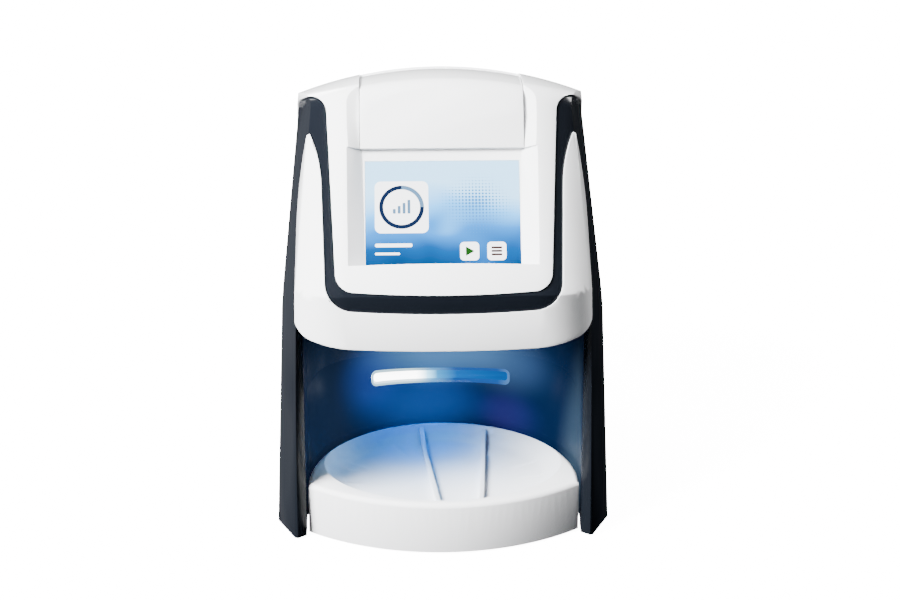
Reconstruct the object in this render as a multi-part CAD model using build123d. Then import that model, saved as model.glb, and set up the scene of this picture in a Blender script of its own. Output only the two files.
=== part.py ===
from build123d import *
import math
import os

os.makedirs("parts", exist_ok=True)

# A desktop scanner for dental phosphor plates. Millimetres, +Z up, X to the right, the front faces -Y.
# The origin lies on the table, in the middle of the footprint. Depths are given as "u", the distance
# behind the front of the tray, and at() turns one into a Y.

# Overall sizes
WIDTH = 152.6        # over the two arms, at half height
DEPTH = 210.0        # tray front to rear wall
HEIGHT = 214.0       # table to the top of the trim lines
LEAN = 36.0          # degrees that the screen face leans back
SIGHT = 22.5         # degrees that the plane of the trim lines leans back
HALF_WIDTH = WIDTH / 2
HALF_DEPTH = DEPTH / 2

# Walls and gaps
SKIN = 2.5           # white shells
FRAME_STEP = 0.8     # dark frame below the white skin
FRAME_WALL = 3.0
MASK_WALL = 2.0
SEAM = 0.3           # gap between two shells
FIT = 0.1            # gap between seated pieces
OVER = 5.0           # overrun of a cut
RUN = 0.05           # radial clearance of a shaft in its bush
SIDE_GAP = 0.4       # gap beside a moving piece
CREST_ROLL = 12.0    # radius of the roll from the face to the top
CREST_DROP = 6.0     # crest below them
CREST_EDGE_SHARES = (0.9, 0.76, 0.5)
FOOT_STAND = 1.5     # feet below the base plate

# Plan outlines of the body: front apex, side points and back apex, as shares of half the width and of
# the depth. The first side point ends the front arc, the second is the ridge of the arm.
FOOT_SHARES = (0.021, [(0.577, 0.034), (0.922, 0.068), (1.035, 0.155), (0.985, 0.838), (0.655, 0.976)], 1.0)
BROW_SHARES = (0.0224, [(0.55, 0.0367), (0.841, 0.154), (0.92, 0.267), (0.839, 0.819), (0.55, 0.952)], 0.976)
CHIN_SHARES = (0.0, [(0.63, 0.0162), (0.991, 0.1244), (1.125, 0.2724), (1.167, 1.11), (0.909, 1.238)], 1.286)
TIP_SHARES = (0.0, [(0.46, 0.0124), (0.730, 0.0361), (0.814, 0.1476), (0.798, 0.964), (0.623, 1.238)], 1.286)
FOOT_LEVEL_SHARE = -0.0235
BROW_LEVEL_SHARE = 1.042
BEND_SHARES = (0.0214, 0.5915)
CHIN_LEVEL_SHARE = -0.526
TIP_LEVEL_SHARE = 0.704
CREST_SHARE = 0.25
BACK_SHARES = [(0.72, 0.835), (0.99, 0.282)]
BODY_SHARE = 0.33
DOME_RADIUS = 185.0  # across the crest
DOME_TILT = 30.0     # degrees that the dome's axis falls to the rear
DOME_SWING = 170.0   # degrees

# Trim lines on the sight plane, as shares of half the width and of the height
HEAD_SILL_SHARES = [(0.0, 0.557), (0.53, 0.5645)]
HEAD_SIDE_SHARES = [(0.635, 0.6075), (0.683, 0.9486)]
HEAD_APEX_SHARES = (0.793, 0.9855)
LIP_SHARES = [(0.0, 0.4402), (0.537, 0.4449), (0.786, 0.4654), (0.883, 0.505)]
HORN_SHARES = [(0.869, 0.701), (0.849, 0.804), (0.803, 0.901)]
HORN_TIP_SHARES = (0.784, 0.9035)
BAND_SHARES = [(0.0, 0.5182), (0.537, 0.5248), (0.695, 0.584), (0.714, 0.794)]
SIDE_EDGE_SHARES = [(0.676, 0.0), (0.61, 0.444), (0.476, 0.822), (0.438, 0.888), (0.362, 0.958)]
SPLIT_SHARE = 0.533  # seam between head cover and rear housing
HEAD_DEPTH_SHARE = 0.19  # how far behind the sight plane the head's trim line reaches
HEAD_DEPTH = HEAD_DEPTH_SHARE * DEPTH
MASK_DEPTH = 34.0

# Screen recess and lid, measured along the face from its lower bend
WINDOW_LOW = 15.2
WINDOW_HIGH = 65.6
WINDOW_HALF = 35.0
WINDOW_SPREAD = 1.0
GLASS_SINK = 9.5
GLASS_THICK = 1.8
RECESS_WALL = 2.0
RECESS_FLARE = 1.2   # widening of the recess for each millimetre up
RECESS_RISE = 20.0
LID_LOW = 70.8
LID_SINK = 6.5
LID_LEAN = 25.5      # degrees
LID_HALF = 36.0
LID_SPREAD = 1.0
LID_LENGTH = 60.0
LID_FLARE = 1.9
LID_DROP = 1.2       # lid below the shoulders, over the top
CHANNEL_ENDS = (70.8, 125.0)       # walls beside the lid, along the face
CHANNEL_FEET = (7.6, 4.8)          # depth of their feet at each end
CHANNEL_RIMS = [(42.3, 3.4), (43.0, 3.2)]   # half width and depth of their rims

# Hand recess between the arms
BAY_RADIUS = 64.0
BAY_CENTRE = 26.0      # where its round back begins, at the deck
BAY_HEIGHT = 104.0
BAY_LEAN = 0.0633      # its wall moves back for each millimetre up
BAY_FRONTS = (18.0, 27.5)              # where its flare begins, at the deck and at the top
BAY_ROUNDNESS = [(0.0, 2.0), (27.0, 2.0), (60.0, 3.6), (110.0, 3.6)]   # level, power of its back curve
BAY_POINTS = 12
ARM_REACH_SHARES = [(1.035, 0.031), (0.959, 0.078)]
LINER_WALL = 2.0
ARM_RETURN = 12.0    # depth of the arm's inner return
ARM_SINK = 3.0       # its face beside the recess
LIP_DEEP = 2.0

# Receiving tray
TRAY_HALF = 63.0
TRAY_CORNER = 22.0
TRAY_RIM = 25.8
TRAY_FOOT = 1.2
TRAY_WALL = 2.2
TRAY_EDGE = 2.4
DISH_HALF = 56.0
DISH_LENGTH = 81.0
DISH_FRONT = 4.2
DISH_DEEP = 9.0
DISH_SHARES = [(1.0, 0.0), (0.94, 0.42), (0.82, 0.8), (0.6, 1.0)]
RIB_WIDE = 2.0
RIB_HIGH = 2.6
RIB_SINK = 0.4       # ends of the ribs below the rim
RIB_END = 1.6
RIB_END_SHARE = 0.16
RIB_SHARES = [((-0.17, 0.97), (-0.025, 0.0)), ((0.37, 0.94), (0.3, 0.02))]
RUNNER_HALF = 23.0
RUNNER_WIDE = 2.0
TONGUE_HALF = 30.0
TONGUE_FRONT = 9.0
TONGUE_HIGH = 3.5

# Slot and shutter
SLOT_Z = 49.0
SLOT_HALF = 32.6
SLOT_HIGH = 5.2
SLOT_RIM = 1.0
SLOT_CORNER = 1.6
SLOT_PROUD = 0.5
THROAT_HALF = 38.0
THROAT_HIGH = 15.0
THROAT_BACK = 99.0
FLAP_HIGH = 6.6
FLAP_THICK = 1.2
FLAP_PIN = 1.0
FLAP_BARREL = 1.6
EAR_THICK = 2.5      # ears that hold the flap's pin
EAR_LONG = 4.0

# Chassis and plate path
CHASSIS_HALF = 45.5
CHASSIS_WALL = 1.5
CHASSIS_FRONT = 104.0
CHASSIS_ROOM = 23.0    # behind it
CHASSIS_BACK = DEPTH - CHASSIS_ROOM
CHASSIS_HIGH = 92.0
BASE_THICK = 3.0
BACK_WINDOW_SHARES = (0.8, 0.1, 0.8)
PATH_FRONT = 115.0
GUIDE_FRONT = 109.0
PATH_GAP = 1.6
GUIDE_THICK = 1.4
ROLLER_RADIUS = 6.0
PINCH_RADIUS = 5.0
PLATE_THICK = 0.4
SHAFT = 2.0          # shaft radius
CAP = 1.0            # shaft ends and flanges
ROLLER_HALF = 32.0
BUSH_RADIUS = 3.0
BUSH_FLANGE = 0.7
SLIT_WIDE = 4.0

# Gears
MODULE = 0.75
GEAR_TEETH = 40
PINION_TEETH = 12
GEAR_WIDE = 4.0
GEAR_GAP = 2.0       # gear behind the cheek
TOOTH_SHARES = [(-1.25, 0.52), (0.0, 0.46), (1.0, 0.24)]
SPOKES = 5
SPOKED_FROM = 20
HOLE_SHARES = (0.2, 0.56)
GEAR_RADIUS = MODULE * GEAR_TEETH / 2
PINION_RADIUS = MODULE * PINION_TEETH / 2
PATH_PITCH = 4 * GEAR_RADIUS   # three equal gears in a row

# Motor, scan head and optics
MOTOR_SIZE = 28.0
MOTOR_LONG = 26.0
MOTOR_BOSS = 11.0
MOTOR_STEP = 0.5
MOTOR_CORNER = 3.0
MIRROR_Z = 75.0
MIRROR_RADIUS = 12.0
MIRROR_WIDE = 5.0
MIRROR_FACES = 6
SPINDLE_RADIUS = 13.0
SPINDLE_LONG = 10.0
BRIDGE_THICK = 3.0
BRIDGE_LONG = 34.0
LASER_RADIUS = 5.0
LASER_LONG = 22.0
LASER_BLOCK = 13.0
LASER_X = -32.0
GUIDE_TOP = 16.0
GUIDE_SLANT = 18.0
GUIDE_HALF = 30.0
GUIDE_WIDE = 5.0
TUBE_RADIUS = 8.0
TUBE_LONG = 48.0
LAMP_HALF = 33.0
LAMP_WIDE = 7.0
LAMP_THICK = 1.6
LAMP_LEDS = 8
LED_SIZE = 3.0
LAMP_BACK = 20.0     # lamp bar ahead of the scan slit

# Rear board, ports and fan
BOARD_LEFT = -4.0
BOARD_SHARE = 0.6553
BOARD_MARGIN = 9.5     # from its edge to the outer posts
BOARD_RIGHT = BOARD_SHARE * HALF_WIDTH
BOARD_LOW = 9.0
BOARD_HIGH = 88.0
BOARD_THICK = 1.6
BOARD_GAP = 4.0
POST_RADIUS = 2.5
POST_INSET = 5.0
PORT_X_SHARES = (0.1311, 0.3539, 0.5505)
PORT_X, INLET_X, SWITCH_X = (share * HALF_WIDTH for share in PORT_X_SHARES)
PORT_Z = 21.0
PORT_SIZE = (16.0, 13.5)
PORT_WALL = 1.2
PORT_DEEP = 9.0
INLET_RADIUS = 5.5
INLET_PIN = 1.0
INLET_HOLE = 3.4
SWITCH_SIZE = (9.0, 14.0)
SWITCH_DEEP = 11.0
SWITCH_RIM = 1.2
ROCKER_ANGLE = 9.0   # degrees either side of level
PORT_ROOM = 8.0        # behind the ports' shells
PORT_BACK = DEPTH - PORT_ROOM
PORT_SET = 1.2       # ports' mouths inside the outside of the wall
CHIP_SIZES = [(14.0, 14.0, 1.6), (9.0, 11.0, 1.2), (6.0, 6.0, 3.0)]
CHIP_SHARES = [(0.35, 0.6), (0.72, 0.42), (0.2, 0.86)]
FAN_X_SHARE = -0.3539
FAN_X = FAN_X_SHARE * HALF_WIDTH
FAN_Z = 46.0
FAN_SIZE = 40.0
FAN_DEEP = 10.0
FAN_ROOM = 11.0        # behind the fan
FAN_BACK = DEPTH - FAN_ROOM
FAN_BORE = 18.6
FAN_BLADES = 7
FAN_HUB = 8.0
FAN_TIP = 18.0
FAN_BLADE = 1.2
FAN_TWIST = 35.0
FAN_CARRIER = 1.6
VENT_WIDE = 3.0
VENT_PITCH = 6.0
VENT_COUNT = 5
VENT_LONG = 30.0

# Display
PANEL_HALF = 38.5
PANEL_LONG = 64.0
PANEL_THICK = 3.2
DISPLAY_BOARD = (60.0, 44.0, 1.6)
DISPLAY_GAP = 3.0

# Feet and screws
FOOT_RADIUS = 6.0
FOOT_SINK = 1.0
FOOT_PLACES_SHARES = [(0.8, 0.42), (0.6, 0.86), (0.26, 0.12)]
SCREW_RADIUS = 1.5
SCREW_HEAD = 2.8
SCREW_LONG = 7.0
HEAD_HIGH = 1.2
SCREW_PLACES_SHARES = [(0.44, 0.57), (0.44, 0.84)]


def at(u):
    """Y of a depth behind the front of the tray."""
    return u - HALF_DEPTH


def block(x0, x1, u0, u1, z0, z1):
    """A box between two corners, depths given behind the tray front."""
    box = Box(x1 - x0, u1 - u0, z1 - z0, align=(Align.MIN, Align.MIN, Align.MIN))
    return Pos(x0, at(u0), z0) * box


def rod_x(radius, x0, x1, u, z):
    """A round bar along X."""
    rod = Cylinder(radius, x1 - x0, align=(Align.CENTER, Align.CENTER, Align.MIN))
    return Pos(x0, at(u), z) * Rot(0, 90, 0) * rod


def rod_y(radius, u0, u1, x, z):
    """A round bar along Y."""
    rod = Cylinder(radius, u1 - u0, align=(Align.CENTER, Align.CENTER, Align.MIN))
    return Pos(x, at(u0), z) * Rot(-90, 0, 0) * rod


def rod_z(radius, z0, z1, x, u):
    """A round bar along Z."""
    return Pos(x, at(u), z0) * Cylinder(radius, z1 - z0, align=(Align.CENTER, Align.CENTER, Align.MIN))


DECK = FOOT_STAND + BASE_THICK


def solid_of(shape):
    """The largest solid of a shape."""
    return max(shape.solids(), key=lambda solid: solid.volume)


def real(shares):
    """Plan outline in millimetres from its shares."""
    front, side, back = shares
    return front * DEPTH, [(x * HALF_WIDTH, y * DEPTH) for x, y in side], back * DEPTH


def unit(a, b):
    return (Vector(*b) - Vector(*a)).normalized()


def arc_heading(apex, end):
    """Direction in which an arc through its apex on the middle line reaches its end."""
    rise = end[1] - apex
    radius = (end[0] ** 2 + rise ** 2) / (2 * rise)
    return Vector(math.sqrt(1 - (end[0] / radius) ** 2), end[0] / radius)


def moved_in(front, side, back, inset):
    """The same outline with every edge moved inwards."""
    corner = arc_heading(front, side[0])
    chord = unit(side[0], side[1])
    ridge = chord * (2 * chord.dot(corner)) - corner
    leaving = [corner] + [unit(a, b) for a, b in zip(side[1:], side[2:])] + [-arc_heading(back, side[-1])]
    coming = [corner, ridge] + leaving[1:-1]
    points = []
    for point, a, b in zip(side, coming, leaving):
        shift = Vector(-a.Y - b.Y, a.X + b.X) * (inset / (1 + a.dot(b)))
        points.append((point[0] + shift.X, point[1] + shift.Y))
    return front + inset, points, back - inset


def outline(plane, front, side, back):
    """Closed face: a front arc, corner arcs, straight flanks and a back arc."""
    mirrored = [(-x, y) for x, y in side]
    corner = arc_heading(front, side[0])
    with BuildSketch(plane) as sketch:
        with BuildLine():
            ThreePointArc(mirrored[0], (0, front), side[0])
            TangentArc(side[0], side[1], tangent=corner)
            Polyline(*side[1:])
            ThreePointArc(side[-1], (0, back), mirrored[-1])
            Polyline(*mirrored[:0:-1])
            TangentArc(mirrored[0], mirrored[1], tangent=(-corner.X, corner.Y))
        make_face()
    return sketch.sketch


LEAN_UP = Vector(0, math.sin(math.radians(LEAN)), math.cos(math.radians(LEAN)))
LEAN_OUT = Vector(0, -math.cos(math.radians(LEAN)), math.sin(math.radians(LEAN)))
BEND = Vector(0, at(BEND_SHARES[0] * DEPTH), BEND_SHARES[1] * HEIGHT)


def trunk(inset):
    """Body below: upright, narrowing towards the top."""
    ends = []
    for shares, level in ((FOOT_SHARES, FOOT_LEVEL_SHARE), (BROW_SHARES, BROW_LEVEL_SHARE)):
        plane = Plane(origin=(0, at(0), level * HEIGHT), x_dir=(1, 0, 0), z_dir=(0, 0, 1))
        ends.append(outline(plane, *moved_in(*real(shares), inset)))
    return loft(ends, ruled=True)


def head_block(inset):
    """Body above: the same outline, leaning back with the screen face."""
    ends = []
    for shares, level in ((CHIN_SHARES, CHIN_LEVEL_SHARE), (TIP_SHARES, TIP_LEVEL_SHARE)):
        plane = Plane(origin=BEND + LEAN_UP * (level * HEIGHT), x_dir=(1, 0, 0), z_dir=LEAN_UP)
        ends.append(outline(plane, *moved_in(*real(shares), inset)))
    return loft(ends, ruled=True)


def dome(inset):
    """Top: a side profile that falls to the rear, swung about a line along the body."""
    crest = (at(CREST_SHARE * DEPTH), HEIGHT - CREST_DROP - inset)
    middle = (at(BACK_SHARES[0][0] * DEPTH) - inset / 2, BACK_SHARES[0][1] * HEIGHT - inset)
    heel = (at(BACK_SHARES[1][0] * DEPTH) - inset, BACK_SHARES[1][1] * HEIGHT)
    fall = math.tan(math.radians(DOME_TILT))
    axis_z = HEIGHT - CREST_DROP - DOME_RADIUS
    front_low = (-DEPTH, axis_z + OVER + (DEPTH + crest[0]) * fall)
    rear_low = (DEPTH, axis_z + OVER - (DEPTH - crest[0]) * fall)
    with BuildSketch(Plane.YZ) as sketch:
        with BuildLine():
            Line((-DEPTH, crest[1]), crest)
            ThreePointArc(crest, middle, heel)
            Polyline(heel, (DEPTH, heel[1]), rear_low, front_low, (-DEPTH, crest[1]))
        make_face()
    axis = Axis((0, crest[0], axis_z), (0, 1, -fall))
    swung = revolve(sketch.sketch, axis, DOME_SWING).rotate(axis, -DOME_SWING / 2)
    return swung + block(-WIDTH, WIDTH, -DEPTH, 2 * DEPTH, 0, BODY_SHARE * HEIGHT)


known_envelopes = {}


def envelope(inset):
    """The whole outer form, moved inwards by a wall. Inner forms run on below the floor."""
    if inset not in known_envelopes:
        floor = FOOT_STAND if inset < MASK_WALL else FOOT_STAND - OVER
        body = trunk(inset) & head_block(inset) & dome(inset)
        body &= block(-WIDTH, WIDTH, -DEPTH, 2 * DEPTH, floor, 2 * HEIGHT)
        body = solid_of(body)
        crest = [edge for edge in body.edges() if is_crest(edge.center(), inset)]
        known_envelopes[inset] = fillet(crest, CREST_ROLL - inset)
    return known_envelopes[inset]


def is_crest(centre, inset):
    """True for the edges between the leaning face and the top."""
    high = centre.Z > CREST_EDGE_SHARES[0] * HEIGHT - inset
    middle = abs(centre.X) < CREST_EDGE_SHARES[1] * HALF_WIDTH
    return high and middle and centre.Y < at(CREST_EDGE_SHARES[2] * DEPTH)


def sight_plane():
    """Plane of the trim lines, leaning back from the front of the tray on the table."""
    tilt = math.radians(SIGHT)
    return Plane(origin=(0, at(0), 0), x_dir=(1, 0, 0), z_dir=(0, -math.cos(tilt), math.sin(tilt)))


def on_sight(shares):
    """Point on the sight plane from shares of half the width and of the height."""
    return (shares[0] * HALF_WIDTH, shares[1] * HEIGHT)


def both_halves(half):
    return half + mirror(half, about=Plane.YZ)


def head_outline(grow):
    """Front edge of the white head: sill, sides, and a turn outwards over the loops."""
    low, corner = (on_sight(s) for s in HEAD_SILL_SHARES)
    knee, neck = (on_sight(s) for s in HEAD_SIDE_SHARES)
    apex = on_sight(HEAD_APEX_SHARES)
    heading = arc_heading(low[1], corner)
    with BuildSketch() as sketch:
        with BuildLine():
            sill = ThreePointArc((-corner[0], corner[1]), low, corner)
            turn = TangentArc(corner, knee, tangent=heading)
            flank = Line(knee, neck)
            shoulder = TangentArc(neck, apex, tangent=flank % 1)
            Polyline(apex, (WIDTH, apex[1]), (WIDTH, 2 * HEIGHT), (-WIDTH, 2 * HEIGHT))
            Polyline((-WIDTH, 2 * HEIGHT), (-WIDTH, apex[1]), (-apex[0], apex[1]))
            TangentArc((-neck[0], neck[1]), (-apex[0], apex[1]), tangent=(-(flank % 1).X, (flank % 1).Y))
            Line((-knee[0], knee[1]), (-neck[0], neck[1]))
            TangentArc((-corner[0], corner[1]), (-knee[0], knee[1]), tangent=(-heading.X, heading.Y))
        make_face()
    return offset(sketch.sketch, grow) if grow else sketch.sketch


def mask_outline(grow):
    """White front mask: the lip below and a horn up each side."""
    lip, lip_side, lip_corner, lip_end = (on_sight(s) for s in LIP_SHARES)
    root, waist, top = (on_sight(s) for s in HORN_SHARES)
    tip = on_sight(HORN_TIP_SHARES)
    band, band_side, band_knee, band_neck = (on_sight(s) for s in BAND_SHARES)
    with BuildSketch() as sketch:
        with BuildLine():
            lower = Line((0, band[1]), (0, lip[1]))
            first = TangentArc(lower @ 1, lip_side, tangent=(1, 0))
            second = TangentArc(lip_side, lip_corner, tangent=first % 1)
            third = TangentArc(lip_corner, lip_end, tangent=second % 1)
            Line(lip_end, root)
            ThreePointArc(root, waist, top)
            Line(top, tip)
            TangentArc(band_neck, tip, tangent=unit(band_knee, band_neck))
            Line(band_knee, band_neck)
            sill = TangentArc(lower @ 0, band_side, tangent=(1, 0))
            TangentArc(band_side, band_knee, tangent=sill % 1)
        make_face()
    whole = both_halves(sketch.sketch)
    return offset(whole, grow) if grow else whole


def sight_prism(sketch, near, far):
    """A trim outline extruded along the line of sight, between two distances from its plane."""
    plane = sight_plane().offset(-far)
    return extrude(plane * sketch, near + far)


def side_prism(grow):
    """Region of the dark frame in side view, ahead of its swept rear edge."""
    points = [(at(u * DEPTH) + grow, z * HEIGHT) for u, z in SIDE_EDGE_SHARES]
    with BuildSketch(Plane.YZ) as sketch:
        with BuildLine():
            ThreePointArc(points[0], points[1], points[2])
            ThreePointArc(points[2], points[3], points[4])
            Polyline(points[4], (points[4][0], 2 * HEIGHT), (-DEPTH, 2 * HEIGHT), (-DEPTH, 0), points[0])
        make_face()
    return extrude(sketch.sketch, WIDTH, both=True)


def bay_plan(grow, level, power):
    """Plan of the hand recess at one level: flared front, straight sides, curved back."""
    rise = (level - DECK) / (BAY_HEIGHT - DECK)
    radius, centre = BAY_RADIUS + grow, at(BAY_CENTRE + (level - DECK) * BAY_LEAN)
    (wide, deep), (top_wide, top_deep) = ARM_REACH_SHARES
    mouth_x = (wide + (top_wide - wide) * rise) * HALF_WIDTH + grow
    mouth_y = at((deep + (top_deep - deep) * rise) * DEPTH)
    knee = at(BAY_FRONTS[0] + (BAY_FRONTS[1] - BAY_FRONTS[0]) * rise)
    points = []
    for index in range(BAY_POINTS + 1):
        turn = math.pi * index / BAY_POINTS
        x = math.copysign(abs(math.cos(turn)) ** (2 / power), math.cos(turn)) * radius
        points.append((x, centre + radius * math.sin(turn) ** (2 / power)))
    with BuildSketch(Plane.XY.offset(level)) as sketch:
        with BuildLine():
            Spline(*points, tangents=[(0, 1), (0, -1)])
            Polyline(points[-1], (-radius, knee), (-mouth_x, mouth_y), (-mouth_x, -DEPTH), (mouth_x, -DEPTH),
                     (mouth_x, mouth_y), (radius, knee), points[0])
        make_face()
    return sketch.sketch


known_bays = {}


def bay(grow, floor, top):
    """Hand recess between the arms, round at the tray and flatter at the slot."""
    if grow not in known_bays:
        plans = [bay_plan(grow, level, power) for level, power in BAY_ROUNDNESS]
        known_bays[grow] = loft(plans, ruled=True)
    return known_bays[grow] & block(-WIDTH, WIDTH, -DEPTH, DEPTH, floor, top)


def face_plane(sink):
    """Plane of the screen face, sunk below the middle of the surface."""
    return Plane(origin=BEND - LEAN_OUT * sink, x_dir=(1, 0, 0), z_dir=LEAN_OUT)


def flared(plane, low, high, half, spread, flare, rise, grow=0.0):
    """A channel on a plane whose two side walls open outwards."""
    ends = []
    for level, widen in ((-grow, -grow * flare), (rise, rise * flare)):
        a, b = half + widen + grow * (1 + flare), half + spread + widen + grow * (1 + flare)
        corners = [(-a, low - grow), (a, low - grow), (b, high + grow), (-b, high + grow)]
        ends.append(plane.offset(level) * make_face(Polyline(*corners, close=True)))
    return loft(ends, ruled=True)


def screen_void(grow=0.0):
    plane = face_plane(GLASS_SINK)
    return flared(plane, WINDOW_LOW, LID_LOW, WINDOW_HALF, WINDOW_SPREAD, RECESS_FLARE, RECESS_RISE, grow)


def lid_plane(sink):
    """Plane of the lid's front, starting below the face and coming up to it at the crest."""
    lean = math.radians(LID_LEAN)
    out = Vector(0, -math.cos(lean), math.sin(lean))
    origin = BEND + LEAN_UP * LID_LOW - LEAN_OUT * LID_SINK
    return Plane(origin=origin - out * sink, x_dir=(1, 0, 0), z_dir=out)


def lid_void(grow=0.0):
    return flared(lid_plane(0), 0, LID_LENGTH, LID_HALF, LID_SPREAD, LID_FLARE, RECESS_RISE, grow)


def lid_channel(grow=0.0):
    """Channel whose two walls lead past the lid up to the crest."""
    ends = []
    for along, foot, (rim, rim_deep) in zip(CHANNEL_ENDS, CHANNEL_FEET, CHANNEL_RIMS):
        plane = Plane(origin=BEND + LEAN_UP * along, x_dir=(1, 0, 0), z_dir=LEAN_UP)
        wide = LID_HALF + (rim - LID_HALF) / (foot - rim_deep) * (foot + grow + RECESS_RISE)
        deep = foot + grow
        corners = [(-LID_HALF, deep), (LID_HALF, deep), (wide, -RECESS_RISE), (-wide, -RECESS_RISE)]
        ends.append(plane * make_face(Polyline(*corners, close=True)))
    return loft(ends, ruled=True)


def behind(plane):
    """Everything behind a leaning plane."""
    far = 2 * HEIGHT
    return extrude(plane * Rectangle(2 * far, 2 * far), -2 * far)


def lid_strip(grow):
    """Strip over the top that the lid takes up, from its lower edge to the rear seam."""
    half = LID_HALF + LID_SPREAD + grow
    strip = block(-half, half, 0, SPLIT_SHARE * DEPTH + grow, 0, 2 * HEIGHT)
    lower = Plane(origin=lid_plane(0).origin - lid_plane(0).y_dir * grow, x_dir=(1, 0, 0), z_dir=-LEAN_UP)
    return strip & behind(lower)


SPLIT = SPLIT_SHARE * DEPTH
CAVITY_WALL = FRAME_STEP + FRAME_WALL
ROOM_WALL = CAVITY_WALL + SEAM

skin_outer = envelope(0)
skin_inner = envelope(SKIN)
frame_outer = envelope(FRAME_STEP)
frame_inner = envelope(CAVITY_WALL)
room = envelope(ROOM_WALL)
head_zone = sight_prism(head_outline(0), HEIGHT, HEAD_DEPTH)
head_zone &= block(-WIDTH, WIDTH, -DEPTH, SPLIT, 0, 2 * HEIGHT)
head_gap = sight_prism(head_outline(SEAM), HEIGHT, HEAD_DEPTH)
head_gap &= block(-WIDTH, WIDTH, -DEPTH, SPLIT + SEAM, 0, 2 * HEIGHT)
mask_zone = sight_prism(mask_outline(0), HEIGHT, MASK_DEPTH)
bay_open = bay(0, DECK, BAY_HEIGHT)


def make_front_mask():
    """White lip and horns, a thin moulding laid into the dark frame."""
    shell = skin_outer - envelope(MASK_WALL)
    return solid_of(shell & mask_zone)


def make_dark_frame():
    """Dark band, loops and arms in one moulding, with a ledge under the mask."""
    shell = (frame_outer - frame_inner) & side_prism(0)
    shell -= head_gap
    pocket = sight_prism(mask_outline(FIT), HEIGHT, MASK_DEPTH) - envelope(MASK_WALL + FIT)
    shell -= pocket
    returns = bay(ARM_SINK, FOOT_STAND, BAY_HEIGHT) & frame_outer
    returns &= block(-WIDTH, WIDTH, 0, BAY_CENTRE + ARM_RETURN, FOOT_STAND, BAY_HEIGHT - LIP_DEEP)
    liner_seat = bay(LINER_WALL + FIT, 0, BAY_HEIGHT)
    returns -= liner_seat & block(-WIDTH, WIDTH, BAY_CENTRE, DEPTH, 0, HEIGHT)
    returns -= block(-BAY_RADIUS + OVER, BAY_RADIUS - OVER, 0, DEPTH, 0, HEIGHT)
    shell += returns - mask_zone
    return solid_of(shell - bay(0, 0, BAY_HEIGHT))


def make_head_cover():
    """White head: shoulders, bezel and the flared screen recess with its floor."""
    shell = (skin_outer - skin_inner) & head_zone
    tub = screen_void(RECESS_WALL) + lid_void(RECESS_WALL) + lid_channel(RECESS_WALL)
    shell += (tub & skin_outer & head_zone) - block(-WIDTH, WIDTH, SPLIT, DEPTH, 0, 2 * HEIGHT)
    shell -= screen_void()
    shell -= lid_void()
    shell -= lid_channel()
    shell -= lid_strip(SEAM) - (envelope(LID_DROP + SKIN + SEAM) & behind(lid_plane(SKIN + SEAM)))
    window = face_plane(GLASS_SINK + RECESS_WALL) * Pos(0, (WINDOW_LOW + WINDOW_HIGH) / 2) * Rectangle(
        2 * (WINDOW_HALF - FIT), WINDOW_HIGH - WINDOW_LOW)
    shell -= extrude(window, 2 * RECESS_WALL)
    return solid_of(shell)


def make_top_lid():
    """Lid over the crest, sunk at its lower edge and rolling back to the rear seam."""
    outer = envelope(LID_DROP) & behind(lid_plane(0))
    inner = envelope(LID_DROP + SKIN) & behind(lid_plane(SKIN))
    return solid_of((outer - inner) & lid_strip(0))


def vents():
    """Slanted slots in the rear wall, behind the fan."""
    cuts = []
    for index in range(VENT_COUNT):
        z = FAN_Z + (index - (VENT_COUNT - 1) / 2) * VENT_PITCH
        slot = Plane(origin=(FAN_X, at(PORT_BACK), z), x_dir=(1, 0, 0), z_dir=(0, 1, 0)) * SlotOverall(
            VENT_LONG, VENT_WIDE)
        cuts.append(extrude(slot, DEPTH - PORT_BACK + OVER, both=True))
    return cuts


def make_rear_housing():
    """White rear shell, with the seat of the fan, its vents and the openings for the ports."""
    shell = skin_outer - skin_inner
    shell -= head_gap
    shell -= side_prism(SEAM)
    seat = block(FAN_X - FAN_SIZE / 2, FAN_X + FAN_SIZE / 2, FAN_BACK, DEPTH,
                 FAN_Z - FAN_SIZE / 2, FAN_Z + FAN_SIZE / 2) & skin_outer
    shell += seat - rod_y(FAN_BORE, FAN_BACK - OVER, DEPTH - SKIN, FAN_X, FAN_Z) - (skin_outer - skin_inner)
    for cut in vents():
        shell -= cut
    wide, high = PORT_SIZE
    shell -= block(PORT_X - wide / 2 - SEAM, PORT_X + wide / 2 + SEAM, PORT_BACK - OVER, DEPTH + OVER,
                   PORT_Z - high / 2 - SEAM, PORT_Z + high / 2 + SEAM)
    shell -= rod_y(INLET_RADIUS + SEAM, PORT_BACK - OVER, DEPTH + OVER, INLET_X, PORT_Z)
    wide, high = SWITCH_SIZE
    shell -= block(SWITCH_X - wide / 2 - SEAM, SWITCH_X + wide / 2 + SEAM, PORT_BACK - OVER - SWITCH_DEEP,
                   DEPTH + OVER, PORT_Z - high / 2 - SEAM, PORT_Z + high / 2 + SEAM)
    return solid_of(shell)


def make_recess_liner():
    """Blue moulded wall and ceiling of the hand recess, with the slot cut through it."""
    top = BAY_HEIGHT + LINER_WALL
    wall = bay(LINER_WALL, DECK, top) & room & block(-WIDTH, WIDTH, BAY_CENTRE + FIT, DEPTH, DECK, top)
    ceiling = bay(LINER_WALL, DECK, top) & room & block(-WIDTH, WIDTH, 0, DEPTH, BAY_HEIGHT, top)
    liner = (wall + ceiling) - bay_open - mask_zone
    return solid_of(liner - slot_bar(SLOT_RIM + FIT))


def slot_bar(grow):
    """Rounded bar along the depth that cuts or fills the slot."""
    wide, high = 2 * (SLOT_HALF + grow), SLOT_HIGH + 2 * grow
    plane = Plane(origin=(0, at(BAY_CENTRE), SLOT_Z), x_dir=(-1, 0, 0), z_dir=(0, 1, 0))
    return extrude(plane * RectangleRounded(wide, high, SLOT_CORNER + grow), DEPTH)


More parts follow.
